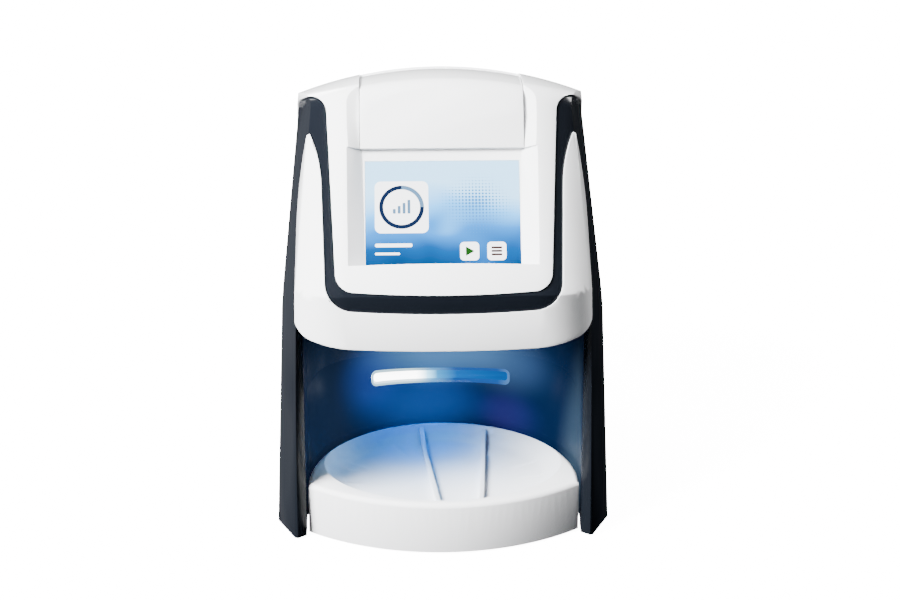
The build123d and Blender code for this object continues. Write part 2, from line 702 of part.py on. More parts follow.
def make_slot_frame():
    """Clear light guide around the slot, following the curve of the wall."""
    ring = bay(LINER_WALL, DECK, BAY_HEIGHT) - bay(-SLOT_PROUD, DECK, BAY_HEIGHT)
    return solid_of((ring & slot_bar(SLOT_RIM)) - slot_bar(0))


def make_slot_throat():
    """Block behind the slot that leads a plate from the curved wall to the straight path."""
    low, high = SLOT_Z - THROAT_HIGH / 2, SLOT_Z + THROAT_HIGH / 2
    body = block(-THROAT_HALF, THROAT_HALF, BAY_CENTRE, THROAT_BACK, low, high)
    body -= bay(LINER_WALL + FIT, DECK - OVER, BAY_HEIGHT + OVER)
    body -= block(-SLOT_HALF, SLOT_HALF, 0, DEPTH, SLOT_Z - SLOT_HIGH / 2, SLOT_Z + SLOT_HIGH / 2)
    pin_z = flap_pin_z()
    arms = block(-THROAT_HALF, -THROAT_HALF + EAR_THICK, THROAT_BACK, THROAT_BACK + EAR_LONG, low, high)
    arms += block(THROAT_HALF - EAR_THICK, THROAT_HALF, THROAT_BACK, THROAT_BACK + EAR_LONG, low, high)
    body += arms
    body -= rod_x(FLAP_PIN + RUN, -THROAT_HALF - OVER, THROAT_HALF + OVER, flap_pin_u(), pin_z)
    return solid_of(body)


def flap_pin_u():
    return THROAT_BACK + EAR_LONG / 2


def flap_pin_z():
    return SLOT_Z + FLAP_HIGH / 2 + FLAP_PIN


def make_shutter_flap():
    """Light flap behind the slot, hanging on its pin and pushed inwards by a plate."""
    u, z = flap_pin_u(), flap_pin_z()
    half = THROAT_HALF - EAR_THICK - SIDE_GAP
    leaf = block(-half, half, u - FLAP_THICK / 2, u + FLAP_THICK / 2, SLOT_Z - FLAP_HIGH / 2, z)
    barrel = rod_x(FLAP_BARREL, -half, half, u, z)
    pin = rod_x(FLAP_PIN, -THROAT_HALF, THROAT_HALF, u, z)
    return solid_of(leaf + barrel + pin)


def tray_plan(grow, low, high):
    """Plan of the tray: curved front, small corner steps and a round back."""
    half, corner = TRAY_HALF + grow, TRAY_CORNER
    centre = at(BAY_CENTRE)
    with BuildSketch(Plane.XY.offset(low)) as sketch:
        with BuildLine():
            ThreePointArc((-half, at(corner)), (0, at(0) - grow), (half, at(corner)))
            Line((half, at(corner)), (half, centre))
            ThreePointArc((half, centre), (0, centre + half), (-half, centre))
            Line((-half, centre), (-half, at(corner)))
        make_face()
    return extrude(sketch.sketch, high - low)


def dish(grow):
    """Oval bowl of the tray, steep at its rim and flat in the middle."""
    centre = at(DISH_FRONT + DISH_LENGTH / 2)
    rings = [Pos(0, centre, TRAY_RIM + OVER) * Ellipse(DISH_HALF + grow, DISH_LENGTH / 2 + grow)]
    for wide, deep in DISH_SHARES:
        ring = Ellipse(DISH_HALF * wide + grow, DISH_LENGTH / 2 * wide + grow)
        rings.append(Pos(0, centre, TRAY_RIM - DISH_DEEP * deep - grow) * ring)
    return loft(rings, ruled=True)


def make_tray():
    """White receiving tray: an open-bottomed moulding with an oval dish and two dividing ribs."""
    body = tray_plan(0, TRAY_FOOT, TRAY_RIM)
    top = body.faces().sort_by(Axis.Z)[-1]
    body = fillet(top.edges(), TRAY_EDGE)
    hollow = tray_plan(-TRAY_WALL, TRAY_FOOT - OVER, TRAY_RIM - TRAY_WALL) - dish(TRAY_WALL)
    body -= hollow
    body -= dish(0)
    body += make_tray_ribs()
    body += tray_runners()
    body -= block(-TONGUE_HALF - SIDE_GAP, TONGUE_HALF + SIDE_GAP, BAY_CENTRE, DEPTH, 0,
                  FOOT_STAND + TONGUE_HIGH + SIDE_GAP)
    return solid_of(body)


def make_tray_ribs():
    """Two low ribs that follow the bowl from back to front."""
    ribs = []
    for back, front in RIB_SHARES:
        start, end = (Vector(x * DISH_HALF, at(DISH_FRONT + y * DISH_LENGTH)) for x, y in (back, front))
        along = (end - start).normalized()
        plane = Plane(origin=start, x_dir=along, z_dir=along.cross(Vector(0, 0, 1)))
        long = (end - start).length
        near, far = long * RIB_END_SHARE, long - long * RIB_END_SHARE
        top, floor = TRAY_RIM - RIB_SINK, TRAY_RIM - DISH_DEEP
        upper = [(0, top), (near, floor + RIB_HIGH), (far, floor + RIB_HIGH), (long, top)]
        root = floor - TRAY_WALL / 2
        lower = [(long, top - RIB_END), (far, root), (near, root), (0, top - RIB_END)]
        face = make_face(Polyline(*upper, *lower, close=True))
        ribs.append(extrude(plane * face, RIB_WIDE / 2, both=True))
    return ribs[0] + ribs[1]


def tray_runners():
    """Two rails under the dish that slide on the tongue of the base."""
    rails = []
    for x in (-RUNNER_HALF, RUNNER_HALF):
        rail = block(x - RUNNER_WIDE / 2, x + RUNNER_WIDE / 2, TONGUE_FRONT, DISH_LENGTH,
                     FOOT_STAND + TONGUE_HIGH + SIDE_GAP, TRAY_RIM - TRAY_WALL)
        rails.append(rail - dish(TRAY_WALL / 2))
    return rails[0] + rails[1]


def foot_places():
    return [(side * x * HALF_WIDTH, y * DEPTH) for x, y in FOOT_PLACES_SHARES for side in (-1, 1)]


def screw_places():
    return [(side * x * HALF_WIDTH, y * DEPTH) for x, y in SCREW_PLACES_SHARES for side in (-1, 1)]


def make_base_plate():
    """Base plate: fills the shells' foot, leaves the bay open and carries the tray on a tongue."""
    plate = room & block(-WIDTH, WIDTH, -DEPTH, 2 * DEPTH, FOOT_STAND, DECK)
    plate -= bay(LINER_WALL + ARM_SINK + SEAM, 0, BAY_HEIGHT) & block(
        -WIDTH, WIDTH, -DEPTH, BAY_CENTRE + ARM_RETURN + SEAM, 0, DECK + OVER)
    plate -= bay(-SEAM, 0, BAY_HEIGHT)
    tongue = block(-TONGUE_HALF, TONGUE_HALF, TONGUE_FRONT, DEPTH, FOOT_STAND, FOOT_STAND + TONGUE_HIGH)
    plate += tongue & bay(-SEAM, 0, BAY_HEIGHT)
    for x, u in foot_places():
        plate -= rod_z(FOOT_RADIUS, 0, FOOT_STAND + FOOT_SINK, x, u)
    for x, u in screw_places():
        plate -= rod_z(SCREW_RADIUS + FIT, 0, DECK + OVER, x, u)
        plate -= rod_z(SCREW_HEAD + FIT, 0, FOOT_STAND + HEAD_HIGH, x, u)
    return solid_of(plate)


def make_rubber_feet():
    """Six feet pressed into the base plate."""
    return [rod_z(FOOT_RADIUS - FIT, 0, FOOT_STAND + FOOT_SINK, x, u) for x, u in foot_places()]


def make_base_screws():
    """Four screws from below into the chassis."""
    screws = []
    for x, u in screw_places():
        head = rod_z(SCREW_HEAD, FOOT_STAND, FOOT_STAND + HEAD_HIGH, x, u)
        shank = rod_z(SCREW_RADIUS, FOOT_STAND, FOOT_STAND + SCREW_LONG, x, u)
        screws.append(solid_of(head + shank))
    return screws


def make_touch_glass():
    """Touch glass let into the floor of the screen recess."""
    half = WINDOW_HALF - 2 * FIT
    pane = Rectangle(2 * half, WINDOW_HIGH - WINDOW_LOW - 2 * FIT)
    placed = face_plane(GLASS_SINK + GLASS_THICK) * Pos(0, (WINDOW_LOW + WINDOW_HIGH) / 2) * pane
    return extrude(placed, GLASS_THICK)


def behind_glass(wide, high, thick, sink):
    """Flat slab behind the glass, sunk by a depth from the face."""
    slab = face_plane(sink + thick) * Pos(0, (WINDOW_LOW + WINDOW_HIGH) / 2) * Rectangle(wide, high)
    return extrude(slab, thick)


def make_lcd_panel():
    return behind_glass(2 * PANEL_HALF, PANEL_LONG, PANEL_THICK, GLASS_SINK + RECESS_WALL + FIT)


def make_display_board():
    """Driver board behind the panel, on four spacers."""
    wide, high, thick = DISPLAY_BOARD
    sink = GLASS_SINK + RECESS_WALL + 2 * FIT + PANEL_THICK
    board = behind_glass(wide, high, thick, sink + DISPLAY_GAP)
    plane = face_plane(sink + DISPLAY_GAP) * Pos(0, (WINDOW_LOW + WINDOW_HIGH) / 2)
    for x in (-1, 1):
        for y in (-1, 1):
            place = Pos(x * (wide / 2 - POST_INSET), y * (high / 2 - POST_INSET))
            board += extrude(plane * place * Circle(POST_RADIUS), DISPLAY_GAP)
    return solid_of(board)


def path_u(index):
    """Depth of the front roller, the scan slit or the rear roller."""
    return PATH_FRONT + index * PATH_PITCH / 2


ROLLER_Z = SLOT_Z - PLATE_THICK / 2 - ROLLER_RADIUS
PINCH_Z = SLOT_Z + PLATE_THICK / 2 + PINCH_RADIUS
GEAR_X = CHASSIS_HALF + GEAR_GAP
GEAR_END = GEAR_X + GEAR_WIDE
MOTOR_Z = ROLLER_Z - GEAR_RADIUS - PINION_RADIUS
LOWER_GUIDE_Z = SLOT_Z - PATH_GAP / 2 - GUIDE_THICK
UPPER_GUIDE_Z = SLOT_Z + PATH_GAP / 2


def make_chassis():
    """Folded sheet-metal channel that carries the rollers, the motor and the scan head."""
    half, wall = CHASSIS_HALF, CHASSIS_WALL
    shell = block(-half, half, CHASSIS_FRONT, CHASSIS_BACK, DECK, CHASSIS_HIGH)
    inner, back = half - wall, CHASSIS_BACK - wall
    shell -= block(-inner, inner, CHASSIS_FRONT - OVER, back, DECK + wall, CHASSIS_HIGH + OVER)
    for index in (0, 2):
        u = path_u(index)
        shell -= rod_x(BUSH_RADIUS, -half - OVER, half + OVER, u, ROLLER_Z)
        shell -= rod_x(SHAFT + RUN, -half - OVER, half + OVER, u, PINCH_Z)
    shell -= rod_x(SHAFT + RUN, half - wall - OVER, half + OVER, path_u(1), ROLLER_Z)
    shell -= rod_x(MOTOR_BOSS + FIT, half - wall - OVER, half + OVER, path_u(1), MOTOR_Z)
    for x, u in screw_places():
        shell -= rod_z(SCREW_RADIUS + FIT, 0, DECK + wall + OVER, x, u)
    wide, low, high = BACK_WINDOW_SHARES
    shell -= block(-half * wide, BOARD_LEFT - POST_INSET, back - OVER, CHASSIS_BACK + OVER,
                   DECK + CHASSIS_HIGH * low, CHASSIS_HIGH * high)
    for z in board_posts()[1]:
        for x in board_posts()[0]:
            shell += rod_y(POST_RADIUS, CHASSIS_BACK, CHASSIS_BACK + BOARD_GAP, x, z)
    return solid_of(shell)


def board_posts():
    """Places of the four posts that carry the rear board."""
    xs = [BOARD_LEFT + POST_INSET, BOARD_RIGHT - BOARD_MARGIN]
    zs = [BOARD_LOW + POST_INSET, BOARD_HIGH - POST_INSET]
    return xs, zs


def guide_plate(low):
    """Flat guide between the cheeks, open at the rollers and at the scan slit."""
    half = CHASSIS_HALF - CHASSIS_WALL - FIT
    plate = block(-half, half, GUIDE_FRONT, CHASSIS_BACK - CHASSIS_WALL - FIT, low, low + GUIDE_THICK)
    for index in (0, 2):
        u = path_u(index)
        reach = ROLLER_RADIUS + SEAM
        plate -= block(-ROLLER_HALF - SEAM, ROLLER_HALF + SEAM, u - reach, u + reach, low - OVER, low + OVER)
    slit = path_u(1) - SLIT_WIDE / 2
    plate -= block(-GUIDE_HALF, GUIDE_HALF, slit, slit + SLIT_WIDE, low - OVER, low + OVER)
    return solid_of(plate)


def make_feed_table():
    return guide_plate(LOWER_GUIDE_Z)


def make_upper_guide():
    return guide_plate(UPPER_GUIDE_Z)


def roller(radius, u, z, reach):
    """Rubber-covered roller on its steel shaft."""
    body = rod_x(radius, -ROLLER_HALF, ROLLER_HALF, u, z)
    return solid_of(body + rod_x(SHAFT, -CHASSIS_HALF - OVER / 2, reach, u, z))


def gear(teeth, u, z, turn, bore):
    """Spur gear with trapezoid teeth, spoked where it is large."""
    pitch = MODULE * teeth / 2
    step = 360 / teeth
    points = []
    for index in range(teeth):
        centre = index * step + turn
        flank = []
        for rise, width in TOOTH_SHARES:
            radius = pitch + rise * MODULE
            half = width * math.pi * MODULE / (2 * radius)
            flank.append((radius, half))
        for sign, row in ((-1, flank), (1, flank[::-1])):
            for radius, half in row:
                angle = math.radians(centre) + sign * half
                points.append((radius * math.cos(angle), radius * math.sin(angle)))
    face = make_face(Polyline(*points, close=True))
    if teeth > SPOKED_FROM:
        hole = pitch * HOLE_SHARES[0]
        for index in range(SPOKES):
            place = Rot(0, 0, 360 / SPOKES * (index + 1 / 2)) * Pos(pitch * HOLE_SHARES[1], 0)
            face -= place * Circle(hole)
    if bore:
        face -= Circle(bore)
    plane = Plane(origin=(GEAR_X, at(u), z), x_dir=(0, 1, 0), z_dir=(1, 0, 0))
    return solid_of(extrude(plane * face, GEAR_WIDE))


def drive_roller(index):
    return roller(ROLLER_RADIUS, path_u(index), ROLLER_Z, GEAR_END + CAP)


def make_front_drive_roller():
    return drive_roller(0)


def make_rear_drive_roller():
    return drive_roller(2)


def make_front_pinch_roller():
    return roller(PINCH_RADIUS, path_u(0), PINCH_Z, CHASSIS_HALF + GEAR_GAP / 2)


def make_rear_pinch_roller():
    return roller(PINCH_RADIUS, path_u(2), PINCH_Z, CHASSIS_HALF + GEAR_GAP / 2)


def make_front_gear():
    return gear(GEAR_TEETH, path_u(0), ROLLER_Z, 0, SHAFT + RUN)


def make_rear_gear():
    return gear(GEAR_TEETH, path_u(2), ROLLER_Z, 0, SHAFT + RUN)


def make_idler_gear():
    """Middle gear, half a tooth out of step, on its own stub shaft."""
    wheel = gear(GEAR_TEETH, path_u(1), ROLLER_Z, 180 / GEAR_TEETH, 0)
    start = CHASSIS_HALF - CHASSIS_WALL - CAP
    return solid_of(wheel + rod_x(SHAFT, start, GEAR_END + CAP, path_u(1), ROLLER_Z))


def make_motor_pinion():
    """Pinion with the motor's shaft."""
    wheel = gear(PINION_TEETH, path_u(1), MOTOR_Z, 0, 0)
    start = CHASSIS_HALF - CHASSIS_WALL - MOTOR_LONG + OVER
    return solid_of(wheel + rod_x(SHAFT, start, GEAR_END + CAP, path_u(1), MOTOR_Z))


def make_stepper_motor():
    """Square stepper motor on the inside of the right cheek."""
    face = CHASSIS_HALF - CHASSIS_WALL - FIT
    size = MOTOR_SIZE / 2
    body = block(face - MOTOR_LONG, face, path_u(1) - size, path_u(1) + size, MOTOR_Z - size, MOTOR_Z + size)
    body = fillet(body.edges().filter_by(Axis.X), MOTOR_CORNER)
    body += rod_x(MOTOR_BOSS, face, CHASSIS_HALF + MOTOR_STEP, path_u(1), MOTOR_Z)
    body -= rod_x(SHAFT + RUN, face - MOTOR_LONG + OVER - FIT, CHASSIS_HALF + OVER, path_u(1), MOTOR_Z)
    return solid_of(body)


def make_roller_bushes():
    """Four flanged bushes in the cheeks for the drive rollers."""
    bushes = []
    for index in (0, 2):
        for side in (-1, 1):
            inner, outer = side * (CHASSIS_HALF - CHASSIS_WALL - CAP), side * CHASSIS_HALF
            low, high = min(inner, outer), max(inner, outer)
            flange = sorted((inner, inner + side * (CAP - FIT)))
            bush = rod_x(BUSH_RADIUS - RUN, low, high, path_u(index), ROLLER_Z)
            bush += rod_x(BUSH_RADIUS + BUSH_FLANGE, *flange, path_u(index), ROLLER_Z)
            bush -= rod_x(SHAFT + RUN, low - OVER, high + OVER, path_u(index), ROLLER_Z)
            bushes.append(solid_of(bush))
    return bushes


MIRROR_U = path_u(1)
SPINDLE_U = MIRROR_U + MIRROR_WIDE / 2 + CAP
BRIDGE_U = SPINDLE_U - BRIDGE_LONG / 2 + SPINDLE_LONG / 2


def make_mirror():
    """Six-sided polygon mirror on its spindle, turning about a line along the plate path."""
    plane = Plane(origin=(0, at(MIRROR_U - MIRROR_WIDE / 2), MIRROR_Z), x_dir=(1, 0, 0), z_dir=(0, 1, 0))
    body = extrude(plane * RegularPolygon(MIRROR_RADIUS, MIRROR_FACES), MIRROR_WIDE)
    hub = MIRROR_RADIUS / 2
    body += rod_y(hub, MIRROR_U - MIRROR_WIDE / 2 - CAP, MIRROR_U, 0, MIRROR_Z)
    return solid_of(body + rod_y(SHAFT, MIRROR_U, SPINDLE_U + SPINDLE_LONG - CAP, 0, MIRROR_Z))


def make_spindle_motor():
    """Round motor behind the mirror, with a flat foot against the scan bridge."""
    back = SPINDLE_U + SPINDLE_LONG
    body = rod_y(SPINDLE_RADIUS, SPINDLE_U, back, 0, MIRROR_Z)
    foot = SPINDLE_RADIUS / 2
    body += block(-foot, foot, SPINDLE_U, back, MIRROR_Z, CHASSIS_HIGH - BRIDGE_THICK - FIT)
    return solid_of(body - rod_y(SHAFT + RUN, SPINDLE_U - OVER, back - CAP + FIT, 0, MIRROR_Z))


def make_scan_bridge():
    """Flat bridge between the cheeks that holds the scan head."""
    half = CHASSIS_HALF - CHASSIS_WALL - FIT
    bridge = block(-half, half, BRIDGE_U, BRIDGE_U + BRIDGE_LONG, CHASSIS_HIGH - BRIDGE_THICK, CHASSIS_HIGH)
    left, right = LASER_X - BRIDGE_THICK, LASER_X + BRIDGE_THICK
    hanger = block(left, right, MIRROR_U - LASER_RADIUS, MIRROR_U + LASER_RADIUS,
                   MIRROR_Z + LASER_BLOCK / 2 + FIT, CHASSIS_HIGH)
    tube_u, tube_z = tube_place()
    cradle = block(-BRIDGE_THICK, BRIDGE_THICK, tube_u - BRIDGE_THICK, tube_u + BRIDGE_THICK,
                   tube_z + TUBE_RADIUS + FIT, CHASSIS_HIGH)
    return solid_of(bridge + hanger + cradle)


def make_laser_module():
    """Square block with a round collimator that points at the mirror."""
    half = LASER_BLOCK / 2
    end = LASER_X + LASER_LONG - half
    body = block(LASER_X - half, LASER_X + half, MIRROR_U - half, MIRROR_U + half, MIRROR_Z - half, MIRROR_Z + half)
    body += rod_x(LASER_RADIUS, LASER_X, end, MIRROR_U, MIRROR_Z)
    lens = rod_x(LASER_RADIUS / 2, end - CAP, end + OVER, MIRROR_U, MIRROR_Z)
    return solid_of(body - lens)


def tube_place():
    """Depth and height of the photomultiplier's axis."""
    u = MIRROR_U + SLIT_WIDE + GUIDE_SLANT + TUBE_RADIUS / 2
    return u, UPPER_GUIDE_Z + GUIDE_THICK + GUIDE_TOP + TUBE_RADIUS


def make_light_guide():
    """Clear wedge that leads the light of the plate up to the photomultiplier."""
    low = UPPER_GUIDE_Z + GUIDE_THICK + SEAM
    start = MIRROR_U + SLIT_WIDE / 2
    high = low + GUIDE_TOP - SEAM - FIT
    ends = []
    for level, half, u in ((low, GUIDE_HALF, start), (high, TUBE_LONG / 4, start + GUIDE_SLANT)):
        ends.append(Pos(0, at(u + GUIDE_WIDE / 2), level) * Rectangle(2 * half, GUIDE_WIDE))
    return loft(ends, ruled=True)


def make_photomultiplier():
    """Light detector tube, lying across above the plate path."""
    u, z = tube_place()
    body = rod_x(TUBE_RADIUS, -TUBE_LONG / 2, TUBE_LONG / 2, u, z)
    cap = rod_x(TUBE_RADIUS - CAP, -TUBE_LONG / 2 - LED_SIZE, TUBE_LONG / 2 + LED_SIZE, u, z)
    return solid_of(body + cap)


def make_eraser_lamp():
    """Bar of white light-emitting diodes that clears a plate, above the path."""
    u = path_u(1) - LAMP_BACK
    low = UPPER_GUIDE_Z + GUIDE_THICK + LED_SIZE + SEAM
    bar = block(-LAMP_HALF, LAMP_HALF, u, u + LAMP_WIDE, low, low + LAMP_THICK)
    pitch = 2 * LAMP_HALF / LAMP_LEDS
    for index in range(LAMP_LEDS):
        x = -LAMP_HALF + (index + 1 / 2) * pitch
        bar += block(x - LED_SIZE / 2, x + LED_SIZE / 2, u + LAMP_WIDE / 2 - LED_SIZE / 2,
                     u + LAMP_WIDE / 2 + LED_SIZE / 2, low - LED_SIZE, low)
    return solid_of(bar)


BOARD_U = CHASSIS_BACK + BOARD_GAP


def make_main_board():
    """Upright rear board with its larger chips."""
    board = block(BOARD_LEFT, BOARD_RIGHT, BOARD_U + FIT, BOARD_U + FIT + BOARD_THICK, BOARD_LOW, BOARD_HIGH)
    wide, high = BOARD_RIGHT - BOARD_LEFT, BOARD_HIGH - BOARD_LOW
    back = BOARD_U + FIT + BOARD_THICK
    for (long, tall, thick), (x, z) in zip(CHIP_SIZES, CHIP_SHARES):
        x, z = BOARD_LEFT + x * wide, BOARD_LOW + z * high
        board += block(x - long / 2, x + long / 2, back, back + thick, z - tall / 2, z + tall / 2)
    return solid_of(board)


PORT_U = BOARD_U + 2 * FIT + BOARD_THICK


def rear_at(x):
    """Depth of the rear wall's outside at a distance from the middle, near the floor."""
    back = FOOT_SHARES[2] * DEPTH
    corner, side = FOOT_SHARES[1][-1]
    sag = (back - side * DEPTH) * (x / (corner * HALF_WIDTH)) ** 2
    return back - sag - PORT_SET


def make_network_port():
    """Shielded network socket, open to the rear."""
    wide, high = PORT_SIZE
    back = rear_at(PORT_X)
    body = block(PORT_X - wide / 2, PORT_X + wide / 2, PORT_U, back, PORT_Z - high / 2, PORT_Z + high / 2)
    body -= block(PORT_X - wide / 2 + PORT_WALL, PORT_X + wide / 2 - PORT_WALL, back - PORT_DEEP, back + OVER,
                  PORT_Z - high / 2 + PORT_WALL, PORT_Z + high / 2 - PORT_WALL)
    return solid_of(body)


def make_power_inlet():
    """Round low-voltage inlet with its centre pin."""
    back = rear_at(INLET_X)
    body = rod_y(INLET_RADIUS, PORT_U, back, INLET_X, PORT_Z)
    body -= rod_y(INLET_HOLE, back - PORT_DEEP, back + OVER, INLET_X, PORT_Z)
    return solid_of(body + rod_y(INLET_PIN, back - PORT_DEEP - CAP, back - CAP, INLET_X, PORT_Z))


def make_switch_body():
    """Case of the rocker switch, snapped into the rear wall."""
    wide, high = SWITCH_SIZE
    back = rear_at(SWITCH_X)
    left, right, front = SWITCH_X - wide / 2, SWITCH_X + wide / 2, back - SWITCH_DEEP
    body = block(left, right, front, back, PORT_Z - high / 2, PORT_Z + high / 2)
    body -= block(left + SWITCH_RIM, right - SWITCH_RIM, front + SWITCH_RIM, back + OVER,
                  PORT_Z - high / 2 + SWITCH_RIM, PORT_Z + high / 2 - SWITCH_RIM)
    body -= rod_x(SHAFT / 2 + RUN, left - OVER, right + OVER, rocker_u(), PORT_Z)
    return solid_of(body)


def rocker_u():
    """Depth of the rocker's pivot."""
    return rear_at(SWITCH_X) - SWITCH_DEEP / 2


def make_power_rocker():
    """Rocker on its pivot pin, a shallow wedge whose halves stand out in turn."""
    wide, high = SWITCH_SIZE
    half = wide / 2 - SWITCH_RIM - SIDE_GAP / 2
    tall = high / 2 - SWITCH_RIM - SIDE_GAP * 2
    pivot = at(rocker_u())
    face = at(rear_at(SWITCH_X) - CAP)
    lift = tall * math.sin(math.radians(ROCKER_ANGLE))
    corners = [(pivot - SHAFT / 2, PORT_Z - SHAFT), (face, PORT_Z - tall), (face - lift, PORT_Z),
               (face, PORT_Z + tall), (pivot - SHAFT / 2, PORT_Z + SHAFT)]
    wedge = extrude(Plane.YZ.offset(SWITCH_X) * make_face(Polyline(*corners, close=True)), half, both=True)
    return solid_of(wedge + rod_x(SHAFT / 2, SWITCH_X - wide / 2, SWITCH_X + wide / 2, rocker_u(), PORT_Z))


def make_fan_frame():
    """Square fan frame with its round bore, hub carrier and four spokes."""
    half = FAN_SIZE / 2
    front = FAN_BACK - FAN_DEEP
    frame = block(FAN_X - half, FAN_X + half, front, FAN_BACK - FIT, FAN_Z - half, FAN_Z + half)
    frame -= rod_y(FAN_BORE, front - OVER, FAN_BACK + OVER, FAN_X, FAN_Z)
    spokes = rod_y(FAN_HUB, front, front + FAN_CARRIER, FAN_X, FAN_Z)
    bar = block(FAN_X - FAN_BORE - CAP, FAN_X + FAN_BORE + CAP, front, front + FAN_CARRIER,
                FAN_Z - FAN_CARRIER / 2, FAN_Z + FAN_CARRIER / 2)
    axis = Axis((FAN_X, at(front), FAN_Z), (0, 1, 0))
    spokes += bar.rotate(axis, 45) + bar.rotate(axis, -45)
    frame += spokes
    return solid_of(frame - rod_y(SHAFT / 2 + RUN, front - OVER, FAN_BACK + OVER, FAN_X, FAN_Z))


def make_fan_impeller():
    """Hub with seven pitched blades on the fan's shaft."""
    front = FAN_BACK - FAN_DEEP + FAN_CARRIER + SEAM
    back = FAN_BACK - CAP
    body = rod_y(FAN_HUB, front, back, FAN_X, FAN_Z)
    middle = (front + back) / 2
    long = (back - front) / 2
    blade = Box(FAN_TIP - FAN_HUB / 2, FAN_BLADE, 2 * long, align=(Align.MIN, Align.CENTER, Align.CENTER))
    blade = Pos(FAN_HUB / 2, 0, 0) * Rot(FAN_TWIST, 0, 0) * blade
    slab = Cylinder(FAN_TIP, 2 * long)
    place = Pos(FAN_X, at(middle), FAN_Z) * Rot(90, 0, 0)
    for index in range(FAN_BLADES):
        body += place * ((Rot(0, 0, 360 / FAN_BLADES * index) * blade) & slab)
    return solid_of(body + rod_y(SHAFT / 2, FAN_BACK - FAN_DEEP, front, FAN_X, FAN_Z))


SUB_PARTS = [
    make_front_mask, make_dark_frame, make_head_cover, make_top_lid, make_rear_housing,
    make_recess_liner, make_slot_frame, make_slot_throat, make_shutter_flap, make_tray, make_base_plate,
    make_rubber_feet, make_base_screws, make_touch_glass, make_lcd_panel, make_display_board,
    make_chassis, make_feed_table, make_upper_guide, make_front_drive_roller, make_rear_drive_roller,
    make_front_pinch_roller, make_rear_pinch_roller, make_front_gear, make_rear_gear, make_idler_gear,
    make_motor_pinion, make_stepper_motor, make_roller_bushes, make_mirror, make_spindle_motor,
    make_scan_bridge, make_laser_module, make_light_guide, make_photomultiplier, make_eraser_lamp,
    make_main_board, make_network_port, make_power_inlet, make_switch_body, make_power_rocker,
    make_fan_frame, make_fan_impeller,
]


def keep(make):
    """Writes one sub-part as a STEP file named after its function."""
    name = make.__name__.removeprefix("make_")
    made = make()
    solids = made if isinstance(made, list) else [made]
    whole = solids[0] if len(solids) == 1 else Compound(children=solids)
    whole.label = name
    export_step(whole, f"parts/{name}.step")


for make in SUB_PARTS:
    keep(make)
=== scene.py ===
import bpy
import math
from mathutils import Matrix, Vector


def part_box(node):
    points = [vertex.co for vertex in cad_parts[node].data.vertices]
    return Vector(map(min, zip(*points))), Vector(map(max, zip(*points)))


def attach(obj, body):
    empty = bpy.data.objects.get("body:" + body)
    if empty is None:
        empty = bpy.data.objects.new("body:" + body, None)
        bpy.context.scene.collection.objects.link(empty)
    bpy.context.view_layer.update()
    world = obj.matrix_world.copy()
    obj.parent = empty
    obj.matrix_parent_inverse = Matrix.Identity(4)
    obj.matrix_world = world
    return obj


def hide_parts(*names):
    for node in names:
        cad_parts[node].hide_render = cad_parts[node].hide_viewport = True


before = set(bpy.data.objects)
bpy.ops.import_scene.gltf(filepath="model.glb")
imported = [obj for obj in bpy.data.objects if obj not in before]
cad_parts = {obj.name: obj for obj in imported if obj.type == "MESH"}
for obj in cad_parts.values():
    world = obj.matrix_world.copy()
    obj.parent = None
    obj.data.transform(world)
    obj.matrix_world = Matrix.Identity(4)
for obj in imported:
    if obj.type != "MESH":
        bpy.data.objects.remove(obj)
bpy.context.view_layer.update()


# Camera: a long lens in front of the scanner, a little to its left and well above it, as the device
# stands on a desk in front of someone seated.
camera = bpy.data.objects.new("camera", bpy.data.cameras.new("camera"))
bpy.context.scene.collection.objects.link(camera)
camera.data.lens = 94.8
camera.data.sensor_width = 36.0
camera.data.clip_start = 0.05
camera.location = (-0.022, -1.0681, 0.5258)
aim = Vector((0.0025, -0.098, 0.124))
camera.rotation_euler = (aim - camera.location).to_track_quat("-Z", "Y").to_euler()
bpy.context.scene.camera = camera


# Studio: a glowing white sweep under a paper dome that only the camera sees. The room is bright on the
# left and dark on the right, so the left arm catches light and the right one stays black, and soft
# boxes light the whites.
sweep_side = 17.9
dome_radius = 9.0
bpy.ops.object.select_all(action="DESELECT")
bpy.ops.mesh.primitive_plane_add(size=sweep_side, location=(0, 0, 0))
sweep = bpy.context.object
sweep.name = "sweep"
sweep.visible_glossy = False
sweep.visible_diffuse = False
paper = bpy.data.materials.new("studio_paper")
paper.use_nodes = True
shader = paper.node_tree.nodes["Principled BSDF"]
shader.inputs["Base Color"].default_value = (0.9, 0.905, 0.91, 1)
shader.inputs["Roughness"].default_value = 0.8
shader.inputs["Emission Color"].default_value = (1, 1, 1, 1)
shader.inputs["Emission Strength"].default_value = 14.0
sweep.data.materials.append(paper)
bpy.ops.object.select_all(action="DESELECT")
bpy.ops.mesh.primitive_uv_sphere_add(segments=48, ring_count=24, radius=dome_radius, location=(0, 0, 0))
dome = bpy.context.object
dome.name = "paper_dome"
dome.data.materials.append(paper)
dome.visible_diffuse = False
dome.visible_glossy = False
dome.visible_transmission = False
dome.visible_shadow = False


# The numbers of the sockets on a Mix node for colours.
mix_share, mix_first, mix_second, mix_result = 0, 6, 7, 2


def summed(nodes, links, first, second):
    """Two lights or colours added to each other."""
    total = nodes.new("ShaderNodeMix")
    total.data_type = "RGBA"
    total.blend_type = "ADD"
    total.inputs[mix_share].default_value = 1.0
    links.new(first, total.inputs[mix_first])
    links.new(second, total.inputs[mix_second])
    return total.outputs[mix_result]


def colour_ramp(nodes, stops):
    """A row of colours, each at its own place between nought and one."""
    ramp = nodes.new("ShaderNodeValToRGB")
    marks = ramp.color_ramp.elements
    for mark, (spot, shade) in zip(marks, (stops[0], stops[-1])):
        mark.position = spot
        mark.color = (*shade, 1)
    for spot, shade in stops[1:-1]:
        marks.new(spot).color = (*shade, 1)
    return ramp


